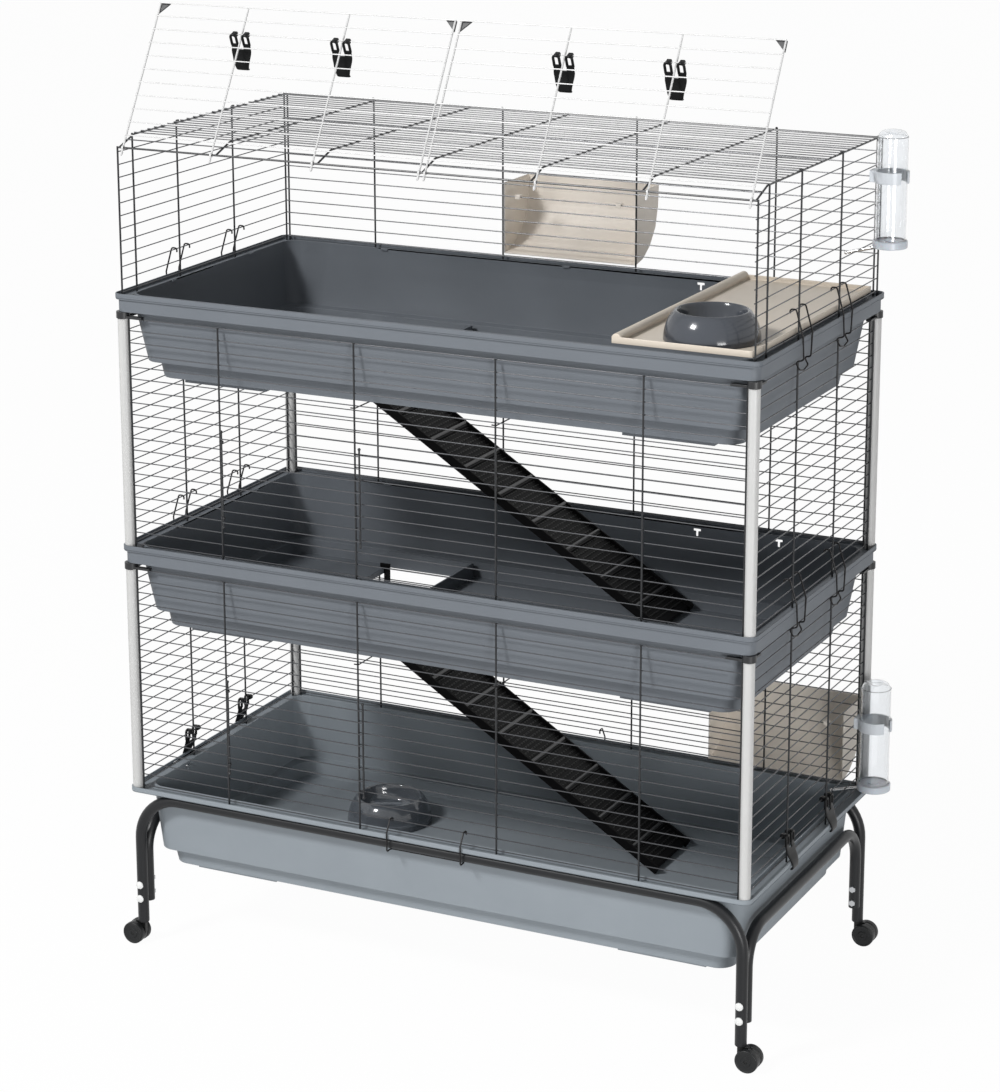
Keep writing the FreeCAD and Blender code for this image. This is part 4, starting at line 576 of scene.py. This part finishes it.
# Roof: cross wires bent down along the front, thin rows on top of them, a rear edge wire and a rail
# along the front, on which the top doors hang.
ROOF_ROWS, FIRST_ROOF_ROW = 24, 0.004
ROOF_BEND, ROOF_STEPS = 0.010, 5
HALF_BAYS = 3
roof_z, rail_z = top_rim + ROOF_RISE, top_rim + ROOF_RISE - RAIL_DROP
reach = line_x - UPRIGHT_GAUGE / 2
roof_edge = reach - WIRE_CORNER
rear_y = line_y - UPRIGHT_GAUGE / 2 - WIRE_CORNER
bevel_y = line_y - BEVEL_RUN
slope = np.array([0, -BEVEL_RUN, -RAIL_DROP]) / math.hypot(BEVEL_RUN, RAIL_DROP)
cross_places = np.arange(1 - HALF_BAYS, HALF_BAYS) * line_x / HALF_BAYS
wires = []
for x in [-roof_edge, *cross_places, roof_edge]:
    path = np.array([(x, rear_y - WIRE_CORNER, roof_z), (x, -bevel_y, roof_z), (x, -line_y, rail_z)])
    path[2] -= slope * UPRIGHT_GAUGE / 2
    wires.append(tube(rounded_path(path, ROOF_BEND, ROOF_STEPS), UPRIGHT_GAUGE / 2, WIRE_SIDES))
edges = [(rear_y, roof_z), (-line_y, rail_z)]
wires.append(bars([(-reach, y, z) for y, z in edges], [(reach, y, z) for y, z in edges], UPRIGHT_GAUGE))
run = bevel_y + line_y - UPRIGHT_GAUGE - FIRST_ROOF_ROW
spots = [(-bevel_y + FIRST_ROOF_ROW + k * run / ROOF_ROWS, roof_z + LAY) for k in range(ROOF_ROWS)]
spots.append((-bevel_y - BEVEL_RUN / 2 + slope[2] * LAY, roof_z - RAIL_DROP / 2 - slope[1] * LAY))
roof_rows = bars([(-reach, y, z) for y, z in spots], [(reach, y, z) for y, z in spots], ROW_GAUGE)
# Enamel seen from above: the rows of the roof are the same black enamel, painted a duller, softer grey for the
# light from above that falls on them.
roof_rows_painted_grey = grained("dull black enamel on thin drawn wire", "#4a4b4e", "#414245", 0.34, 1.0, 0.01)
piece("roof_panel_cross_wires", joined(wires), wire_black, "roof_panel")
piece("roof_panel_rows", roof_rows, roof_rows_painted_grey, "roof_panel", instead=False)

# Top doors: two frames of enamelled wire, hung on the rail by eyes and shown leaning back over the roof.
# Below each eye the wire ends in a short tail with a dipped white tip.
DOOR_LEAN = math.radians(30)
DOOR_LENGTH, DOOR_FIRST, DOOR_ROWS = 0.264, 0.022, 11
DOOR_GAP, DOOR_SIDE_GAP, EYE_OFFSET = 0.0055, 0.011, 0.009
EYE_OUT, TAIL = 0.0040, 0.008
TIP_RADIUS, TIP_TURN, TIP_STEPS, TIP_SIDES = 0.0024, 0.45 * math.pi, 9, 12


def leaning(drawn):
    """Points of an upright door drawn about its rail as (along, inward, height), leaned back."""
    along, inward, height = np.moveaxis(np.asarray(drawn, float), -1, 0)
    y = inward * math.cos(DOOR_LEAN) + height * math.sin(DOOR_LEAN)
    z = height * math.cos(DOOR_LEAN) - inward * math.sin(DOOR_LEAN)
    return np.stack([along, y - line_y, z + rail_z], -1)


def door_uprights(places, low, high):
    """Upright wires of a leaning door, between two distances from its rail."""
    feet, tops = [leaning([(u, 0, z) for u in places]) for z in (low, high)]
    return bars(feet, tops, UPRIGHT_GAUGE)


# White enamel: pale, softly shaded wires that nearly vanish in front of a white wall.
wire_white = grained("white enamel on drawn wire", "#cdcdcd", "#c4c4c4", 0.36, 1.0, 0.01)
door_up = leaning((0, 0, 1)) - leaning((0, 0, 0))
door_heights = np.linspace(DOOR_FIRST, DOOR_LENGTH - ROW_GAUGE / 2, DOOR_ROWS)
tip_turn = np.linspace(-TIP_TURN, TIP_TURN, TIP_STEPS)
tip = np.stack([TIP_RADIUS * np.cos(tip_turn), 2 * TIP_RADIUS * np.sin(tip_turn)], 1)
for side, sign in (("left", -1), ("right", 1)):
    ends = [DOOR_GAP, line_x - DOOR_SIDE_GAP]
    places = [sign * u for u in ends + [line_x / 3 + EYE_OFFSET, line_x * 2 / 3 + EYE_OFFSET]]
    low, high = sorted(sign * u for u in ends)
    low, high = low - UPRIGHT_GAUGE / 2, high + UPRIGHT_GAUGE / 2
    row_starts, row_ends = [leaning([(u, -LAY, z) for z in door_heights]) for u in (low, high)]
    wires = [door_uprights(places, EYE_OUT - EYE_WIRE, DOOR_LENGTH),
             door_uprights(places, -EYE_OUT - TAIL, EYE_WIRE - EYE_OUT),
             bars(row_starts, row_ends, ROW_GAUGE)]
    wires += [eye(leaning((u, 0, 0)), (1, 0, 0)) for u in places]
    wires += [lathe(tip, leaning((u, 0, TIP_RADIUS - EYE_OUT - TAIL)), door_up, TIP_SIDES) for u in places]
    piece(f"top_door_{side}_wires", joined(wires), wire_white, f"top_door_{side}")

# Corner caps of the top doors: small moulded triangles of black nylon.
# They are pressed on the ends of the wires at the doors' free corners.
DOOR_CAP_EDGE = 0.0008
# Nylon: charcoal and dull, so that the corners stand out from the white wires.
cap_black = grained("charcoal nylon", "#2c2d2f", "#242527", 0.42, 1.2, 0.02)
for side in ("left", "right"):
    moulded(f"door_caps_{side}", cap_black, DOOR_CAP_EDGE)

# Plastic clips: black nylon, two looped ears hooked on a row wire and a bowed body that narrows to a toe.
# Those on the doors hang loose; those on the lowest side panels snap under the rim of the bottom tray.
# A notch between the ears clears the upright wire behind. Lines are (outward, height) from the row wire.
CLIP_LINE_MM = [(9.4, -23), (10.2, -26), (11.4, -29.6), (13.0, -34), (16.8, -42), (18.8, -50),
                (18.2, -56), (14.0, -58)]
CLIP_HALF_MM = [18.6, 18.8, 18.4, 17.4, 15.4, 13.2, 11.8, 10.6]
CLIP_THICK, CLIP_STEPS = 0.0028, 5
EAR_FOOT_MM = [(7.8, -13.6), (8.4, -19), (9.6, -24)]
EAR_FOOT_HALF = 0.0068
EAR_MIDDLE, EAR_HALF, EAR_RADIUS = 0.0114, 0.0052, 0.0023
EAR_OUT, EAR_LOW, EAR_TOP = 0.0078, -0.016, 0.0024
EAR_BEND, EAR_STEPS, EAR_SIDES = 0.9 * EAR_HALF, 6, 12
HOOK_LINE_MM = [(8.2, 2.4), (5.0, 3.4), (2.0, 3.0)]
HOOK_HALF, HOOK_THICK = 0.0036, 0.8 * CLIP_THICK
EYE_RING_MM = [(1.4, -3.6), (4.0, -3.6), (4.6, -3.0), (4.6, 3.0), (4.0, 3.6), (1.4, 3.6)]
SECTION_SIDES, WIDE_POWER, THICK_POWER = 24, 0.35, 0.7
CLIP_HANG = math.radians(22.2)


def smooth_line(corners, steps):
    """A smooth line through points: cubics that leave each point along the chord of its neighbours."""
    c = np.asarray(corners, float)
    c = np.concatenate([2 * c[:1] - c[1:2], c, 2 * c[-1:] - c[-2:-1]])
    before, start, end, after = c[:-3], c[1:-2], c[2:-1], c[3:]
    t = np.linspace(0, 1, steps, endpoint=False)[:, None, None]
    spans = start + t * (end - before) / 2 + t ** 2 * (before - 2.5 * start + 2 * end - after / 2)
    spans += t ** 3 * (1.5 * start - before / 2 - 1.5 * end + after / 2)
    return np.concatenate([spans.transpose(1, 0, 2).reshape(-1, c.shape[1]), c[-2:-1]])


def strap(line, half_width, thick):
    """A flat bar along a line of (outward, height) points, of changing width.
    Its section is an oval drawn out towards its corners: powers of a circle's cosine and sine."""
    along = np.gradient(line, axis=0)
    along /= np.linalg.norm(along, axis=1)[:, None]
    turn = np.linspace(0, 2 * math.pi, SECTION_SIDES, endpoint=False)
    wide = half_width[:, None] * np.sign(np.cos(turn)) * np.abs(np.cos(turn)) ** WIDE_POWER
    high = thick / 2 * np.sign(np.sin(turn)) * np.abs(np.sin(turn)) ** THICK_POWER
    points = np.stack([wide, line[:, :1] - along[:, 1:] * high, line[:, 1:] + along[:, :1] * high], -1)
    return points, list(lattice(len(line), SECTION_SIDES)) + end_discs(len(line), SECTION_SIDES)


body_line, hook_line, foot_line = [smooth_line(np.array(line) / 1000, CLIP_STEPS)
                                   for line in (CLIP_LINE_MM, HOOK_LINE_MM, EAR_FOOT_MM)]
body_half = smooth_line(np.array(CLIP_HALF_MM)[:, None] / 1000, CLIP_STEPS)[:, 0]
clip_parts = [strap(body_line, body_half, CLIP_THICK)]
for x in (-EAR_MIDDLE, EAR_MIDDLE):
    left, right = x - EAR_HALF, x + EAR_HALF
    loop = [(left, EAR_OUT, EAR_LOW), (left, EAR_OUT, EAR_TOP),
            (right, EAR_OUT, EAR_TOP), (right, EAR_OUT, EAR_LOW)]
    clip_parts.append(tube(rounded_path(loop, EAR_BEND, EAR_STEPS), EAR_RADIUS, EAR_SIDES))
    for line, half, thick in ((hook_line, HOOK_HALF, HOOK_THICK), (foot_line, EAR_FOOT_HALF, CLIP_THICK)):
        points, faces = strap(line, np.full(len(line), half), thick)
        clip_parts.append((points + (x, 0, 0), faces))
    clip_parts.append(lathe(np.array(EYE_RING_MM) / 1000, (x, 0, 0), (1, 0, 0), ROUND_SIDES, closed=True))
clip_points, clip_faces = joined(clip_parts)
facing_back = np.diag([-1.0, -1.0, 1.0])
tipped = np.array([[1, 0, 0], [0, math.cos(CLIP_HANG), -math.sin(CLIP_HANG)],
                   [0, math.sin(CLIP_HANG), math.cos(CLIP_HANG)]])
out_left = np.array([[0.0, -1, 0], [1, 0, 0], [0, 0, 1]])
clip_turns = {f"door_clip_{side}_{end}": tipped @ facing_back
              for side in ("left", "right") for end in ("inner", "outer")}
clip_turns.update({f"tray_clip_left_{end}": out_left for end in ("front", "rear")})
clip_turns.update({f"tray_clip_right_{end}": out_left.T for end in ("front", "rear")})
# Nylon from a polished mould: deep black, with small, sharp glints on the bends.
clip_black = grained("black nylon, polished mould", "#101112", "#0a0b0c", 0.34, 1.2, 0.02,
                     Specular_IOR_Level=0.15)
for node, turn in clip_turns.items():
    hung = clip_points @ turn.T + hinge_of[body_of[node]]
    piece(f"{node}_moulded", (hung, clip_faces), clip_black, node)

# Bent wire clips over the rims of the upper trays, two on each side, and stays over the stand tubes.
# Spring wire with curled ends over a row above; below, the wire crosses the upright in a small crown.
# Heights are counted from the rim.
SPRING_RADIUS, SPRING_BEND, SPRING_STEPS, SPRING_SIDES = 0.0014, 0.0040, 5, 10
SPRING_TOP, SPRING_FOOT, SKIRT_FOOT = 0.021, 0.016, -0.035
CURL, SHOULDER = 0.007, 0.004
CROWN_HALF, CROWN_RISE, CROWN_DROP, CROWN_BELLY, CROWN_SAG = 0.020, -0.038, -0.050, 0.007, 0.005
STAY_HALF, STAY_FOOT = 0.070, -0.030
ROWS_UNDER_HOOK = 2


def hook_over(line, rim_edge, row):
    """The upper end of a leg, as (outward, height): a curl behind a row wire, over it and past the rim."""
    behind = line - LAY - ROW_GAUGE - 2 * SPRING_RADIUS
    over = row + FIRST_ROW + SPRING_RADIUS
    return [(behind, over - CURL), (behind, over), (line + UPRIGHT_GAUGE / 2 + SPRING_RADIUS, over),
            (rim_edge + 2 * SPRING_RADIUS, SHOULDER)]


def spring(path):
    """A round spring wire along a line of corner points."""
    return tube(rounded_path(path, SPRING_BEND, SPRING_STEPS), SPRING_RADIUS, SPRING_SIDES)


springs = []
step = (post_tall - 2 * FIRST_ROW) / (STOREY_ROWS - 1)
top_step = (TOP_ROWS_RISE - FIRST_ROW) / (TOP_ROWS - 1)
shoulder, crown = half_x + 2 * SPRING_RADIUS, line_x + UPRIGHT_GAUGE / 2 + SPRING_RADIUS
for rim, row_step in ((rims[1], step), (rims[2], top_step)):
    leg = hook_over(line_x, half_x, FIRST_ROW + ROWS_UNDER_HOOK * row_step)
    line = [(x, -SPRING_TOP, z) for x, z in leg]
    line += [(shoulder, -SPRING_FOOT, SKIRT_FOOT), (crown, -CROWN_HALF, CROWN_RISE),
             (crown + CROWN_BELLY, -CROWN_HALF, CROWN_DROP),
             (crown + CROWN_BELLY, 0, CROWN_DROP - CROWN_SAG)]
    line += [(x, -y, z) for x, y, z in line[-2::-1]]
    for sign in (-1, 1):
        for middle in (-SIDE_BAY / 2, SIDE_BAY / 2):
            springs.append(spring([(sign * x, middle + y, rim + z) for x, y, z in line]))
leg = hook_over(line_y, half_y, FIRST_ROW + step)
leg += [(half_y + 2 * SPRING_RADIUS, STAY_FOOT), (line_y, STAY_FOOT)]
line = [(-STAY_HALF, y, z) for y, z in leg] + [(STAY_HALF, y, z) for y, z in leg[::-1]]
for sign in (-1, 1):
    springs.append(spring([(x, sign * y, rims[0] + z) for x, y, z in line]))
# A thin coat on spring wire: dull black, with hardly a highlight.
spring_black = grained("black coat on spring wire", "#1c1b1c", "#151415", 0.38, 1.0, 0.01,
                       Specular_IOR_Level=0.2)
piece("wire_clips_bent", joined(springs), spring_black, "wire_clips")

# Tie rods: coated spring wire under the upper trays, bent at both ends.
# They hook round the uprights of the front and rear panels and keep these from spreading.
TIE_RADIUS, TIE_BEND, TIE_HOOK, TIE_STEPS = 0.0011, 0.0022, 0.008, 5
tie_low, tie_high = corners_of("tie_rods")
reach = tie_high[1] - TIE_RADIUS
ties = []
for z in (tie_low[2] + TIE_RADIUS, tie_high[2] - TIE_RADIUS):
    for x in (-BAY / 2, BAY / 2):
        beside = x + UPRIGHT_GAUGE / 2 + TIE_RADIUS
        path = [(beside - TIE_HOOK, -reach, z), (beside, -reach, z),
                (beside, reach, z), (beside - TIE_HOOK, reach, z)]
        ties.append(tube(rounded_path(path, TIE_BEND, TIE_STEPS), TIE_RADIUS, SPRING_SIDES))
piece("tie_rods_bent", joined(ties), spring_black, "tie_rods")

# Ramps: black polypropylene gutters hooked over the edge of the ramp holes, with nine rungs.
# Between the rungs, rows of short round studs cross the deck to give a foothold.
RAMP_EDGE = 0.0008
RAMP_SLOPE = math.radians(32.5)
FLANGE_HEIGHT, FLANGE_THICK, DECK_THICK = 0.016, 0.004, 0.004
RUNGS, RUNG_GAUGE, RUNG_START = 9, 0.0068, 0.7
STUD_ROWS, STUDS, STUD_SHARE, STUD_GAUGE = 8, 15, 0.72, 0.0032
FIRST_STUDS = 0.01
# Polypropylene: a deck that swallows the light. The studs are the same black, painted grey for the light from
# above on them, and the rungs are painted lighter still as their highlights.
ramp_black = grained("black polypropylene", "#101011", "#0a0a0b", 0.52, 1.8, 0.08,
                     Specular_IOR_Level=0.08)
stud_painted_light = grained("black polypropylene, scuffed", "#262626", "#1c1c1c", 0.46, 1.8, 0.04,
                     Specular_IOR_Level=0.2)
rung_painted_highlight = grained("black polypropylene, worn smooth", "#3a3a3b", "#303031", 0.36, 1.8, 0.03)
deck = (FLANGE_HEIGHT / 3 + DECK_THICK) / math.cos(RAMP_SLOPE)
rung_places = (np.arange(RUNGS) + RUNG_START) / RUNGS
steps = np.arange(1, RUNGS * STUD_ROWS)
stud_places = (steps[steps % STUD_ROWS != 0] / STUD_ROWS + RUNG_START - 1) / RUNGS
stud_places = stud_places[stud_places > FIRST_STUDS]
for node in ("ramp_lower", "ramp_upper"):
    moulded(node, ramp_black, RAMP_EDGE)
    low, high = corners_of(node)
    foot_x = high[0] - FLANGE_HEIGHT * math.sin(RAMP_SLOPE)
    hook_x = low[0] + 2 * FLANGE_THICK
    for kind, places, gauge, lift, finish, cuts, share in (
            ("ridges", stud_places, STUD_GAUGE, 0, stud_painted_light, STUDS, STUD_SHARE),
            ("rungs", rung_places, RUNG_GAUGE, RUNG_GAUGE / 2, rung_painted_highlight, 1, 1)):
        x = foot_x - places * (foot_x - hook_x - FLANGE_HEIGHT)
        z = low[2] + (foot_x - x) * math.tan(RAMP_SLOPE) + deck + lift * math.cos(RAMP_SLOPE)
        x = x + lift * math.sin(RAMP_SLOPE)
        cut = (high[1] - low[1] - 2 * FLANGE_THICK) / cuts
        near = np.tile(low[1] + FLANGE_THICK + cut * (np.arange(cuts) + (1 - share) / 2), len(x))
        x, z = np.repeat(x, cuts), np.repeat(z, cuts)
        across = bars(np.stack([x, near, z], 1), np.stack([x, near + cut * share, z], 1), gauge)
        piece(f"{node}_{kind}", across, finish, node, instead=False)

# Hay racks: polypropylene bins with a bowed outer wall, moulded in one piece.
# They hook on the rear panels from outside, and hay is pulled in between the rows.
RACK_EDGE = 0.0008
# Tan polypropylene: a warm, even, opaque tone with a soft sheen.
rack_tan = grained("tan polypropylene", "#ece4da", "#e5dcd0", 0.48, 1.8, 0.05)
moulded("hay_rack_top", rack_tan, RACK_EDGE)
moulded("hay_rack_lower", rack_tan, RACK_EDGE)

# Feeding shelf: a moulded polypropylene tray laid across the right end of the top rim.
# Its left edge is rolled, so that it stays stiff.
SHELF_EDGE = 0.0012
# Beige polypropylene: a shade deeper than the racks, with a soft line of light along the roll.
shelf_beige = grained("beige polypropylene", "#d9cfc1", "#d2c7b8", 0.44, 1.8, 0.04)
moulded("shelf", shelf_beige, SHELF_EDGE)

# Bowls: heavy dishes with a wide foot, a flared side and a rolled lip, so that no rabbit can tip them.
# The one on the shelf is moulded in grey melamine, the one on the floor in smoky clear styrene.
BOWL_SIDES, BOWL_STEPS, BOWL_SHARP = 96, 6, 60
BOWL_PROFILE_MM = [(2, 11.4), (40, 11.4), (71, 10.5), (74.6, 1), (75.5, 0), (77.4, 0), (78, 1),
                   (77.6, 8), (75.8, 18), (72.0, 30), (66.5, 40), (62.2, 45.6), (59.6, 47.6),
                   (57.6, 47.8), (55.8, 46.4), (53.8, 41.5), (50.4, 30), (46.2, 20.5), (38, 15.4),
                   (24, 14.6), (2, 14.4)]
# Melamine: hard and glossy, it mirrors the lamps. Styrene: dark glassy walls with bright rims.
melamine = grained("glossy grey melamine", "#44484f", "#3e4249", 0.14, 3.0, 0.01)
styrene = grained("smoky clear styrene", "#868c93", "#7c828a", 0.08, 4.0, 0.01,
                  IOR=1.59, Transmission_Weight=0.6)
bowl_profile = smooth_line(np.array(BOWL_PROFILE_MM) / 1000, BOWL_STEPS)
for node, finish in (("bowl_shelf", melamine), ("bowl_floor", styrene)):
    low, high = corners_of(node)
    centre = np.append(((low + high) / 2)[:2], low[2])
    bowl = lathe(bowl_profile, centre, (0, 0, 1), BOWL_SIDES)
    piece(f"{node}_turned", bowl, finish, node, sharp=BOWL_SHARP)

# Drinking bottles: blown PET with a rounded shoulder and a sunk end, standing on knurled caps.
# A sloping steel spout with a ball leads in between the rows.
# Each table is counted from the axis or the outer radius, and from the foot or the top.
BOTTLE_WALL, BOTTLE_PIN = 0.0008, 0.0004
BOTTLE_SIDES, BOTTLE_STEPS, BOTTLE_SHARP = 64, 5, 70
BOTTLE_FOOT_MM = [(-1, 0), (0, 2)]
WALL_PLACES = (0.3, 0.6)
BOTTLE_TOP_MM = [(0, -16), (-1, -10), (-4.5, -3), (-10, -0.4), (-14, -2)]
SUNK_END_MM = [(4, -6), (1, -6)]
CAP_MIDDLE_MM = [(2, 1)]
CAP_FOOT_MM = [(-6, 1), (-5, 0), (-1, 0), (0, 1)]
CAP_TOP_MM = [(0, -1.5), (-1.5, 0), (-3, 0), (-4, -2)]
CAP_SEAT_MM = [(10, -2), (9, -0.5), (2, -0.5)]
KNURLS, KNURL_SIDES, KNURL_DEPTH = 44, 4, 0.0005
KNURLED = slice(4, 6)
SPOUT_RADIUS, SPOUT_SLOPE, SPOUT_NECK = 0.003, math.radians(15), 0.008
BALL_RADIUS, BALL_SET, BALL_STEPS = 0.0034, 0.004, 8
BALL_FROM, BALL_TO = 0.3 * math.pi, -0.45 * math.pi


def tabled(*tables):
    """A profile from tables in millimetres, each counted from its own (radius, height)."""
    return np.concatenate([np.array(start) + np.array(table) / 1000 for start, table in tables])


# PET: clear, seen mostly by its edges and glints. The caps are milky, so light sinks in and softens
# the knurls. Drawn steel: mirror bright, a little blurred.
pet = grained("clear blown PET", "#fbfcfd", "#f6f8fa", 0.07, 6.0, 0.01, IOR=1.57, Transmission_Weight=1.0)
cap_grey = grained("milky grey polypropylene", "#c6ccd4", "#bcc3cb", 0.32, 2.0, 0.02,
                   Subsurface_Weight=0.1)
steel = grained("drawn stainless steel", "#d6d6d6", "#c8c8c8", 0.2, 1.0, 0.01, Metallic=1.0)
for storey in ("lower", "top"):
    low, high = corners_of(f"bottle_{storey}")
    radius, tall = (high[0] - low[0]) / 2, high[2] - low[2]
    centre = np.append(((low + high) / 2)[:2], low[2])
    walls = [((radius, share * tall), [(0, 0)]) for share in WALL_PLACES]
    outside = tabled(((radius, 0), BOTTLE_FOOT_MM), *walls, ((radius, tall), BOTTLE_TOP_MM),
                     ((0, tall), SUNK_END_MM))
    outside = smooth_line(outside, BOTTLE_STEPS)
    slant = np.gradient(outside, axis=0)
    slant /= np.linalg.norm(slant, axis=1)[:, None]
    inside = outside + BOTTLE_WALL * np.stack([-slant[:, 1], slant[:, 0]], 1)
    inside[:, 0] = np.maximum(inside[:, 0], BOTTLE_PIN)
    shell = lathe(np.concatenate([outside, inside[::-1]]), centre, (0, 0, 1), BOTTLE_SIDES, closed=True)
    piece(f"bottle_{storey}_blown", shell, pet, f"bottle_{storey}", sharp=BOTTLE_SHARP)
    low, high = corners_of(f"bottle_cap_{storey}")
    rim, tall = (high[0] - low[0]) / 2 - KNURL_DEPTH, high[2] - low[2]
    cap = tabled(((0, 0), CAP_MIDDLE_MM), ((rim, 0), CAP_FOOT_MM), ((rim, tall), CAP_TOP_MM),
                 ((0, tall), CAP_SEAT_MM))
    points, faces = lathe(cap, np.append(centre[:2], low[2]), (0, 0, 1), KNURL_SIDES * KNURLS)
    spin = np.linspace(0, 2 * math.pi, KNURL_SIDES * KNURLS, endpoint=False)
    knurl = KNURL_DEPTH * np.cos(KNURLS * spin)
    points[KNURLED] += np.stack([np.cos(spin), np.sin(spin), 0 * spin], 1) * knurl[:, None]
    piece(f"bottle_cap_{storey}_moulded", (points, faces), cap_grey, f"bottle_cap_{storey}")
    low, high = corners_of(f"bottle_spout_{storey}")
    fall = np.array([-math.cos(SPOUT_SLOPE), 0, -math.sin(SPOUT_SLOPE)])
    tip_end = np.array([low[0] + SPOUT_RADIUS * math.sin(SPOUT_SLOPE), centre[1],
                        low[2] + SPOUT_RADIUS * math.cos(SPOUT_SLOPE)])
    long = (high[0] - low[0]) / math.cos(SPOUT_SLOPE)
    ball = np.linspace(BALL_FROM, BALL_TO, BALL_STEPS)
    ball = np.stack([BALL_RADIUS * np.cos(ball), -BALL_SET - BALL_RADIUS * np.sin(ball)], 1)
    spout = np.concatenate([[(SPOUT_RADIUS, -long), (SPOUT_RADIUS, -SPOUT_NECK)], ball])
    drawn = lathe(spout, tip_end, fall, ROUND_SIDES)
    piece(f"bottle_spout_{storey}_drawn", drawn, steel, f"bottle_spout_{storey}")

# Bottle rings: open hoops of ABS on a bracket that grips the rows of the right-hand panels.
# The bottle is pushed in through the mouth of the hoop.
HOOP_EDGE = 0.0006
# Pale ABS: cool and smooth, with one clear highlight along the hoop.
hoop_grey = grained("pale grey ABS", "#d2d7dc", "#cacfd5", 0.36, 1.5, 0.02)
moulded("bottle_holders", hoop_grey, HOOP_EDGE)

# Studio: a pale floor that shows white and keeps a soft shadow, a big lamp from the upper front left,
# a weaker one from the right and a pale sky.
FLOOR_SIZE = 160.0
FLOOR_GLOW = 0.97
SKY = 0.25
WHITE = linear("#ffffff")


def seen_rays(tree):
    """One where a ray comes from the camera or through gloss or glass, none for light on its way round."""
    path = add_node(tree, "ShaderNodeLightPath").outputs
    seen = add_node(tree, "ShaderNodeMath", {"operation": "MAXIMUM"})
    tree.links.new(path["Is Camera Ray"], seen.inputs[0])
    tree.links.new(path["Is Glossy Ray"], seen.inputs[1])
    both = add_node(tree, "ShaderNodeMath", {"operation": "MAXIMUM"})
    tree.links.new(seen.outputs[0], both.inputs[0])
    tree.links.new(path["Is Transmission Ray"], both.inputs[1])
    return both.outputs[0]


def lamp(name, place, aim, size, power):
    """A square area lamp at a place, turned to face a point."""
    data = bpy.data.lights.new(name, "AREA")
    data.shape = "SQUARE"
    data.size = size
    data.energy = power
    made = bpy.data.objects.new(name, data)
    bpy.context.scene.collection.objects.link(made)
    made.location = place
    made.rotation_euler = (Vector(aim) - Vector(place)).to_track_quat("-Z", "Y").to_euler()


floor_mesh = bpy.data.meshes.new("floor")
floor_points = np.array([[-1, -1, 0], [1, -1, 0], [1, 1, 0], [-1, 1, 0]]) * FLOOR_SIZE / 2
floor_mesh.from_pydata(floor_points.tolist(), [], [[0, 1, 2, 3]])
floor = bpy.data.objects.new("floor", floor_mesh)
bpy.context.scene.collection.objects.link(floor)
# Paper: flat white without a sheen, so that it only takes the shadow.
paper, tree, shader = surface("white paper floor", Roughness=0.9)
shader.inputs["Base Color"].default_value = linear("#f6f6f6")
floor_mesh.materials.append(paper)
glow = add_node(tree, "ShaderNodeEmission", {"Color": WHITE, "Strength": 1.0})
share = add_node(tree, "ShaderNodeMath", {"operation": "MULTIPLY"})
tree.links.new(seen_rays(tree), share.inputs[0])
share.inputs[1].default_value = FLOOR_GLOW
lit = add_node(tree, "ShaderNodeMixShader", Fac=share.outputs[0])
tree.links.new(shader.outputs[0], lit.inputs[1])
tree.links.new(glow.outputs[0], lit.inputs[2])
tree.links.new(lit.outputs[0], tree.nodes["Material Output"].inputs["Surface"])

world = bpy.data.worlds.new("studio")
bpy.context.scene.world = world
world.use_nodes = True
tree = world.node_tree
dim = tree.nodes["Background"]
dim.inputs["Color"].default_value = WHITE
dim.inputs["Strength"].default_value = SKY
bright = add_node(tree, "ShaderNodeBackground", {"Color": WHITE, "Strength": 1.0})
sky = add_node(tree, "ShaderNodeMixShader", Fac=seen_rays(tree))
tree.links.new(dim.outputs[0], sky.inputs[1])
tree.links.new(bright.outputs[0], sky.inputs[2])
tree.links.new(sky.outputs[0], tree.nodes["World Output"].inputs["Surface"])

lamp("key", place=(-2.3, -4.4, 4.8), aim=(0, 0, 0.9), size=1.1, power=322)
lamp("fill", place=(3.6, -3.4, 0.8), aim=(0, 0, 0.8), size=1.4, power=102)

# Camera: a long lens to the right of the cage's front and a little above its middle.
# A small shift keeps the uprights nearer to parallel; the focal length is in pixels of the photograph.
YAW, PITCH, ROLL = 0.45718, 0.25697, -0.00181
DISTANCE = 5.34318
AIM = Vector((0.00073, 0, 0.93800))
SENSOR, FOCAL_PIXELS, FRAME_PIXELS = 36.0, 3107.447, 1092
SHIFT, CLIP_END = -0.1, 400
forward = Vector((-math.sin(YAW) * math.cos(PITCH), math.cos(YAW) * math.cos(PITCH), -math.sin(PITCH)))
lens = bpy.data.cameras.new("camera")
lens.sensor_width = SENSOR
lens.lens = FOCAL_PIXELS / FRAME_PIXELS * SENSOR
lens.shift_y = SHIFT
lens.clip_end = CLIP_END
camera = bpy.data.objects.new("camera", lens)
bpy.context.scene.collection.objects.link(camera)
camera.location = AIM - forward * DISTANCE
turned = forward.to_track_quat("-Z", "Y").to_matrix() @ Matrix.Rotation(ROLL, 3, "Z")
camera.rotation_euler = turned.to_euler()
bpy.context.scene.camera = camera
bpy.context.scene.view_settings.view_transform = "Standard"

bpy.context.view_layer.update()
